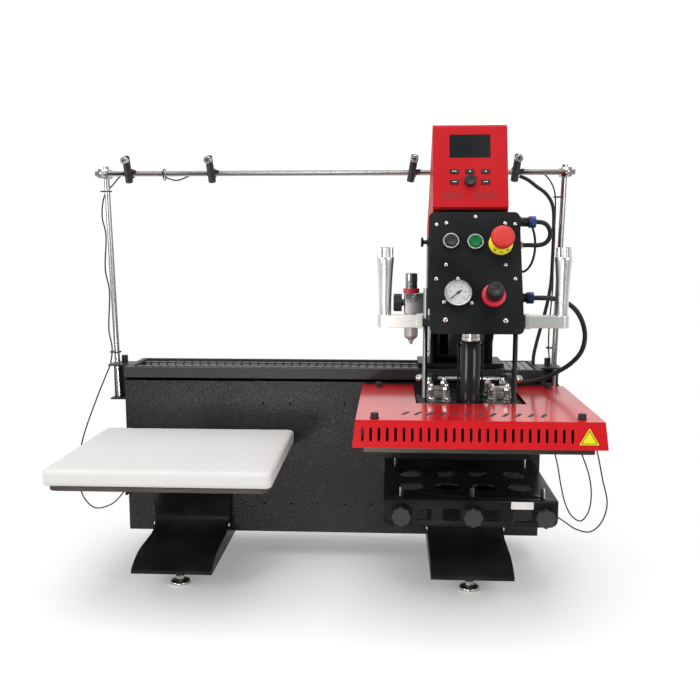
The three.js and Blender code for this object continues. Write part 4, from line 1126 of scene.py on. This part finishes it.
def legend():
    """Plain ruled lines where the operating notes are printed."""
    bm = bmesh.new()
    for start, widths in ((-0.069, (0.030, 0.040, 0.055, 0.049, 0.056, 0.028)),
                          (0.007, (0.044, 0.052, 0.047, 0.059, 0.050, 0.030))):
        for row, width in enumerate(widths):
            v = -0.0600 - row * 0.0058
            block_in(bm, (start, v - 0.0006, 0.00005), (start + width, v + 0.0006, 0.00020),
                     HOOD_FACE)
    piece("ruled_lines", bm, print_red, "carriage")


def key_marks(number, place):
    """A plain pale bar or arrow on a key."""
    u, v = place
    bm = bmesh.new()
    if number in (2, 3):
        rod_in(bm, 0.0028, 0.0023, 0.0025, HOOD_FACE @ Matrix.Translation((u, v - 0.0004, 0)), 3)
    else:
        for shift in (-0.0026, 0.0026):
            block_in(bm, (u + shift - 0.0019, v - 0.0011, 0.0023),
                     (u + shift + 0.0019, v + 0.0011, 0.0025), HOOD_FACE)
    piece(f"key_mark_{number}", bm, label_white, f"key_{number}")


def encoder():
    at = HOOD_FACE @ Matrix.Translation((-0.001, -0.039, 0))
    bm = bmesh.new()
    fluted_in(bm, 0.0140, 0.0006, 30, 0.0006, 0.0125, at, 4)
    turned_in(bm, [(0, 0.0120), (0.0134, 0.0124), (0.0126, 0.0138), (0.0110, 0.0140),
                   (0.0100, 0.0134), (0, 0.0132)], at, 40)
    rod_in(bm, 0.0036, -0.008, 0.002, at, 16)
    piece("encoder_grip", bm, moulded_black, "encoder_knob", 0.0003, ["encoder_knob"])


KEYS = ((-0.0385, -0.014), (-0.001, -0.014), (0.0365, -0.014),
        (-0.0385, -0.0405), (0.0365, -0.0405))
display()
legend()
encoder()
for n, key_place in enumerate(KEYS, 1):
    eased_node(f"key_{n}", moulded_black, 0.0006)
    key_marks(n, key_place)


# ---- control panel ------------------------------------------------------------------

STOP = (-0.056, 0.075)
START = (0.0005, 0.073)
ESTOP = (0.059, 0.069)
GAUGE = (-0.042, -0.056)
REGULATOR = (0.0395, -0.059)


def on_panel(place):
    return PANEL @ Matrix.Translation((*place, 0))


def control_board():
    bm = bmesh.new()
    rounded_in(bm, (-0.106, -0.1505, -0.003), (0.106, 0.1505, 0), 0.013, PANEL)
    piece("control_board", bm, panel_black, "carriage", 0.0007, ["control_panel"])
    small = [(0.0025, 0.138), (-0.089, 0.118), (-0.066, 0.122), (0.071, 0.121), (0.094, 0.119),
             (-0.068, 0.017), (0.069, 0.0165), (-0.091, -0.018), (0.090, -0.0175),
             (-0.041, -0.018), (-0.074, -0.075), (-0.0105, -0.077)]
    button_heads("board_screws", small, PANEL, 0.0048, "carriage")
    button_heads("board_bolts", [(-0.071, -0.118), (0.065, -0.119)], PANEL, 0.0064, "carriage")


def push_button(name, place, finish, body, high):
    at = on_panel(place)
    spun(name + "_bezel", bright_screw, "carriage", [
        (0.0156, 0.0002), (0.0156, 0.0066), (0.0163, 0.0074), (0.0182, 0.0074),
        (0.0196, 0.0058), (0.0200, 0.0030), (0.0200, 0.0002),
    ], at, 48, True)
    spun(name + "_cap", finish, body, [
        (0, high - 0.0022), (0.0070, high - 0.0020), (0.0110, high - 0.0012), (0.0126, high),
        (0.0142, high - 0.0006), (0.0149, high - 0.0022), (0.0149, 0.0052), (0, 0.0052),
    ], at, 48, nodes=[body])


def emergency_stop():
    at = on_panel(ESTOP)
    spun("stop_ring", ring_yellow, "carriage", [
        (0.0120, 0.0002), (0.0120, 0.0060), (0.0262, 0.0060), (0.0276, 0.0050),
        (0.0280, 0.0034), (0.0280, 0.0002),
    ], at, 56, True)
    spun("stop_neck", moulded_black, "carriage",
         [(0, 0.0002), (0.0128, 0.0002), (0.0128, 0.0175), (0, 0.0175)], at, 40)
    spun("stop_mushroom", stop_red, "estop_button", [
        (0.0136, 0.0300), (0.0136, 0.0142), (0.0182, 0.0142), (0.0196, 0.0160),
        (0.0218, 0.0215), (0.0244, 0.0275), (0.0264, 0.0335), (0.0273, 0.0385),
        (0.0274, 0.0420), (0.0266, 0.0452), (0.0246, 0.0476), (0.0214, 0.0491),
        (0.0150, 0.0498), (0, 0.0500),
    ], at, 56, nodes=["estop_button"])
    bm = bmesh.new()
    for i in range(3):
        turn = Matrix.Rotation(radians(230 + i * 40), 4, "Z")
        block_in(bm, (0.0222, -0.0032, 0.0061), (0.0246, 0.0032, 0.0064), at @ turn)
    piece("stop_ring_marks", bm, ink_and_painted_shade, "carriage")


def numeral(value, at, size):
    """A dial numeral as a thin mesh."""
    text = bpy.data.curves.new("numeral", "FONT")
    text.body = value
    text.size = size
    text.align_x = "CENTER"
    text.align_y = "CENTER"
    text.extrude = 0.00004
    carrier = new_object("numeral", text)
    mesh = worked_out(carrier)
    bpy.data.objects.remove(carrier)
    mesh.transform(at)
    return mesh


def pressure_gauge():
    at = on_panel(GAUGE)
    spun("gauge_rim", bright_screw, "carriage", [
        (0.0284, 0.0002), (0.0284, 0.0137), (0.0293, 0.0140), (0.0308, 0.0139),
        (0.0318, 0.0128), (0.0320, 0.0110), (0.0320, 0.0002),
    ], at, 72, True)
    spun("gauge_dial", dial_white, "carriage",
         [(0, 0.0110), (0.0283, 0.0110), (0.0283, 0.0100), (0, 0.0100)], at, 72)
    bm = bmesh.new()
    for i in range(41):
        turn = Matrix.Rotation(radians(225 - i * 6.75), 4, "Z")
        long = 0.0052 if i % 8 == 0 else 0.0040 if i % 4 == 0 else 0.0022
        half = 0.00042 if i % 4 == 0 else 0.00022
        block_in(bm, (0.0258 - long, -half, 0.01102), (0.0258, half, 0.01112), at @ turn)
    for i in range(6):
        turn = radians(225 - i * 54)
        spot = at @ Matrix.Translation((0.0168 * cos(turn), 0.0168 * sin(turn), 0.0111))
        bm.from_mesh(numeral(str(i * 2), spot, 0.0066))
    turned_in(bm, [(0.0262, 0.01102), (0.0266, 0.01102), (0.0266, 0.01112), (0.0262, 0.01112)],
              at, 72, True)
    piece("gauge_marks", bm, ink_and_painted_shade, "carriage")
    spun("gauge_lens", lens_glass, "carriage",
         [(0, 0.0136), (0.0282, 0.0136), (0.0282, 0.0139), (0, 0.0139)], at, 64)
    eased_node("gauge_needle", ink_and_painted_shade)


def regulator():
    at = on_panel(REGULATOR)
    spun("regulator_ring", collar_red, "carriage", [
        (0.0124, 0.0002), (0.0124, 0.0080), (0.0240, 0.0080), (0.0266, 0.0072),
        (0.0275, 0.0054), (0.0275, 0.0002),
    ], at, 56, True)
    spun("regulator_stem", moulded_black, "carriage",
         [(0, 0.0002), (0.0118, 0.0002), (0.0118, 0.0205), (0, 0.0205)], at, 32)
    bm = bmesh.new()
    fluted_in(bm, 0.0200, 0.0009, 26, 0.0130, 0.0400, at, 4)
    turned_in(bm, [(0, 0.0395), (0.0188, 0.0395), (0.0186, 0.0435), (0.0170, 0.0458),
                   (0.0120, 0.0460), (0.0110, 0.0452), (0, 0.0450)], at, 48)
    piece("regulator_grip", bm, moulded_black, "regulator_knob", 0.0004, ["regulator_knob"])


control_board()
push_button("stop", STOP, moulded_black, "stop_button", 0.0115)
push_button("start", START, start_green, "start_button", 0.0105)
emergency_stop()
pressure_gauge()
regulator()


# ---- handles ------------------------------------------------------------------------

def handle(side, name):
    """A milled arm with its turned grip, from the mount plate out."""
    low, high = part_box("handle_" + name)
    grip = STATION + side * GRIP_REACH
    root = STATION + side * 0.1173
    ends = sorted((root, grip + side * 0.017))
    bm = bmesh.new()
    made = block_in(bm, (ends[0], GRIP_Y - 0.017, 0.673), (ends[1], GRIP_Y + 0.017, 0.701))
    outer = [edge for edge in {edge for vertex in made for edge in vertex.link_edges}
             if rise(edge) > 0.01 and abs(edge.verts[0].co.x - root) > 0.05]
    round_off(bm, outer, 0.0169, 10)
    tail = sorted((root, root + side * 0.0137))
    block_in(bm, (tail[0], low.y, 0.671), (tail[1], high.y, 0.703))
    piece("arm_" + name, bm, milled, "carriage", 0.0008, ["handle_" + name])
    upright = Matrix.Translation((grip, GRIP_Y, 0))
    spun("grip_" + name, turned_bright, "carriage", [
        (0, 0.7000), (0.0138, 0.7000), (0.0142, 0.7040), (0.0144, 0.7300), (0.0149, 0.7520),
        (0.0158, 0.7740), (0.0172, 0.7980), (0.0188, 0.8190), (0.0198, 0.8300),
        (0.0199, 0.8346), (0.0196, 0.8350), (0.0190, 0.8350), (0.0188, 0.8340),
        (0.0188, 0.8285), (0, 0.8285),
    ], upright, 64)
    bm = bmesh.new()
    fluted_in(bm, 0.0182, 0.0022, 12, 0.8325, 0.8572, upright, 10, 0.6)
    turned_in(bm, [(0, 0.8560), (0.0120, 0.8566), (0.0150, 0.8574), (0.0165, 0.8580),
                   (0, 0.8580)], upright, 32)
    piece("thumb_cap_" + name, bm, turned_bright, "thumb_" + name, 0.0004, ["thumb_" + name])


handle(-1, "left")
handle(1, "right")


# ---- air filter ---------------------------------------------------------------------

def air_filter():
    at = Matrix.Translation((0.2145, 0.100, 0))
    bm = bmesh.new()
    rounded_in(bm, (0.1957, 0.0802, 0.6860), (0.2559, 0.1198, 0.7385), 0.005, corners=4)
    turned_in(bm, [(0, 0), (0.0085, 0), (0.0085, 0.0040), (0.0060, 0.0040), (0.0060, 0.0052),
                   (0, 0.0052)], along((0.2250, 0.0803, 0.728), (0.2250, 0.07, 0.728)), 24)
    piece("filter_body", bm, cast_metal, "carriage", 0.0012, ["filter_unit"])
    spun("filter_bowl", bowl_metal, "carriage", [
        (0, 0.6040), (0.0038, 0.6040), (0.0042, 0.6060), (0.0034, 0.6075), (0.0046, 0.6090),
        (0.0050, 0.6120), (0.0074, 0.6125), (0.0078, 0.6160), (0.0090, 0.6180),
        (0.0140, 0.6200), (0.0168, 0.6235), (0.0180, 0.6290), (0.0180, 0.6760),
        (0.0186, 0.6770), (0.0186, 0.6870), (0, 0.6870),
    ], at, 40)
    bm = bmesh.new()
    fluted_in(bm, 0.0210, 0.0006, 30, 0.7392, 0.7500, at, 4)
    piece("filter_collar", bm, collar_red, "carriage", 0.0006)
    spun("filter_bonnet", cast_metal, "carriage", [
        (0, 0.7500), (0.0155, 0.7500), (0.0155, 0.7620), (0.0148, 0.7628), (0.0148, 0.7650),
        (0.0155, 0.7658), (0.0155, 0.7860), (0.0146, 0.7890), (0.0110, 0.7900), (0, 0.7900),
    ], at, 40)
    bm = bmesh.new()
    axis = along((0.1952, 0.100, 0.713), (0.1, 0.100, 0.713))
    turned_in(bm, [(0, 0), (0.0090, 0), (0.0090, 0.0060), (0, 0.0060)], axis, 24)
    fluted_in(bm, 0.0230, 0.0010, 30, 0.0050, 0.0250, axis, 4)
    turned_in(bm, [(0, 0.0245), (0.0215, 0.0248), (0.0205, 0.0268), (0.0150, 0.0270),
                   (0, 0.0262)], axis, 40)
    piece("filter_grip", bm, moulded_black, "filter_knob", 0.0005, ["filter_knob"])


air_filter()


# ---- pressing head ------------------------------------------------------------------

eased_node("head_plate", head_black)
eased_node("heat_cover", cover_red, sharp=14)
eased_node("platen", heater_plate, 0.0012)
eased_node("pivot_shaft", polished)

PLATE_TOP = 0.4865


def ram():
    """The ram: a bright-collared black tube, its rod and its piston."""
    low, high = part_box("ram")
    spun("ram_tube", ram_black, "head", [
        (0, low.z), (0.0232, low.z), (0.0240, low.z + 0.0008), (0.0240, 0.6350), (0.0232, 0.6360),
        (0.0202, 0.6380), (0.0202, 0.6395), (0.0212, 0.6400), (0.0212, 0.6460), (0.0200, 0.6468),
        (0.0200, 0.6545), (0.0192, 0.6550), (0.0110, 0.6550), (0.0110, 0.7470), (0.0306, 0.7470),
        (0.0306, high.z), (0, high.z),
    ], Matrix.Translation((STATION, RAM_Y, 0)), 64, nodes=["ram"])


def spring_studs():
    """Bright studs with springs and lock nuts that hang the hot plate, in fours each side."""
    bm = bmesh.new()
    for dx in (-0.092, -0.055, 0.055, 0.092):
        for y in (-0.070, 0.020):
            at = Matrix.Translation((STATION + dx, y, PLATE_TOP))
            turned_in(bm, [(0, 0.0001), (0.0125, 0.0001), (0.0125, 0.0016), (0, 0.0016)], at, 28)
            rod_in(bm, 0.0112, 0.0016, 0.0096, at @ Matrix.Rotation(radians(20), 4, "Z"), 6)
            coils = []
            for turn in range(5):
                z = 0.0100 + turn * 0.0034
                coils += [(0.0064, z), (0.0086, z + 0.0009), (0.0088, z + 0.0017),
                          (0.0064, z + 0.0026)]
            turned_in(bm, [(0, 0.0096), *coils, (0, 0.0272)], at, 24)
            rod_in(bm, 0.0098, 0.0274, 0.0340, at, 6)
            turned_in(bm, [(0, 0.0338), (0.0050, 0.0338), (0.0050, 0.0420), (0.0042, 0.0432),
                           (0, 0.0432)], at, 20)
    piece("spring_studs", bm, bright_screw, "head", 0.0005)


def clevis_blocks():
    """Bright blocks that tie the studs together under the pivot shaft."""
    bm = bmesh.new()
    for side in (-1, 1):
        x = STATION + side * 0.0735
        rounded_in(bm, (x - 0.013, -0.042, PLATE_TOP + 0.0003),
                   (x + 0.013, -0.010, PLATE_TOP + 0.018), 0.004, corners=4)
        rod_in(bm, 0.0060, -0.020, 0.020,
               along((x, -0.026, PLATE_TOP + 0.024), (x + 1, -0.026, PLATE_TOP + 0.024)))
    piece("clevis_blocks", bm, milled, "head", 0.0010)


def tie_rods():
    """Two thin tie rods beside the ram, with their nuts."""
    bm = bmesh.new()
    for side in (-1, 1):
        at = Matrix.Translation((STATION + side * 0.0285, RAM_Y, 0))
        rod_in(bm, 0.0026, PLATE_TOP + 0.0002, 0.630, at, 16)
        rod_in(bm, 0.0050, PLATE_TOP + 0.0002, 0.4925, at, 6)
        rod_in(bm, 0.0050, 0.6235, 0.6295, at, 6)
    piece("tie_rods", bm, satin_black, "head", 0.0003)


def shaft_hubs():
    """Split collars on the pivot shaft."""
    bm = bmesh.new()
    low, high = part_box("pivot_shaft")
    middle = (low.x + high.x) / 2
    for x in (middle - 0.088, middle + 0.088):
        at = along((x - 0.006, 0.090, 0.515), (x + 0.006, 0.090, 0.515))
        turned_in(bm, [(0.0072, 0), (0.0132, 0), (0.0140, 0.001), (0.0140, 0.011), (0.0132, 0.012),
                       (0.0072, 0.012)], at, 32, True)
    piece("shaft_hubs", bm, satin_black, "head")


def cover_fixings():
    """Four black square-socket bolts on the cover."""
    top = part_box("heat_cover")[1].z
    bm = bmesh.new()
    for x, y in ((0.128, -0.300), (0.574, -0.292), (0.131, 0.088), (0.572, 0.088)):
        at = Matrix.Translation((x, y, top))
        turned_in(bm, [(0, 0.0002), (0.0105, 0.0002), (0.0105, 0.0016), (0.0086, 0.0020),
                       (0.0086, 0.0030), (0, 0.0030)], at, 28)
        fluted_in(bm, 0.0088, 0.0007, 18, 0.0028, 0.0118, at, 4)
        turned_in(bm, [(0.0042, 0.0080), (0.0042, 0.0122), (0.0078, 0.0122), (0.0086, 0.0114),
                       (0, 0.0112)], at, 28)
    piece("cover_bolts", bm, moulded_black, "head", 0.0004)


def cover_vent_shades():
    """A row of plain leaning slots, laid flat and dark on top of the cover: painted shade standing
    in for the vent openings.
    """
    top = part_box("heat_cover")[1].z
    bm = bmesh.new()
    lean = Matrix.Rotation(radians(-24), 4, "Z")
    for i in range(12):
        at = Matrix.Translation((0.196 + i * 0.0275, -0.246 - i * 0.0012, top)) @ lean
        rounded_in(bm, (-0.0042, -0.0190, 0.00005), (0.0042, 0.0190, 0.00025), 0.0041, at, 6)
    piece("cover_vent_shades", bm, ink_and_painted_shade, "head")


def heat_sign():
    """A plain yellow triangle with a dark line, on the front of the cover."""
    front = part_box("heat_cover")[0].y + 0.0021
    lean = 0.1                         # radians that the cover's front leans back
    face = Matrix.Translation((0.5835, front, 0.4595)) @ Matrix.Rotation(pi / 2 - lean, 4, "X")
    for name, radius, deep, finish in (("heat_sign_edge", 0.0240, 0.0006, ring_yellow),
                                       ("heat_sign_line", 0.0196, 0.0008, ink_and_painted_shade),
                                       ("heat_sign_field", 0.0166, 0.0010, ring_yellow)):
        bm = bmesh.new()
        rod_in(bm, radius, -deep / 2, deep / 2, sides=3)
        round_off(bm, [edge for edge in bm.edges if rise(edge) > deep / 2], radius * 0.09, 4)
        bmesh.ops.transform(bm, matrix=face @ Matrix.Translation((0, -0.004, deep / 2)),
                            verts=bm.verts)
        piece(name, bm, finish, "head")


ram()
spring_studs()
clevis_blocks()
tie_rods()
shaft_hubs()
cover_fixings()
cover_vent_shades()
heat_sign()
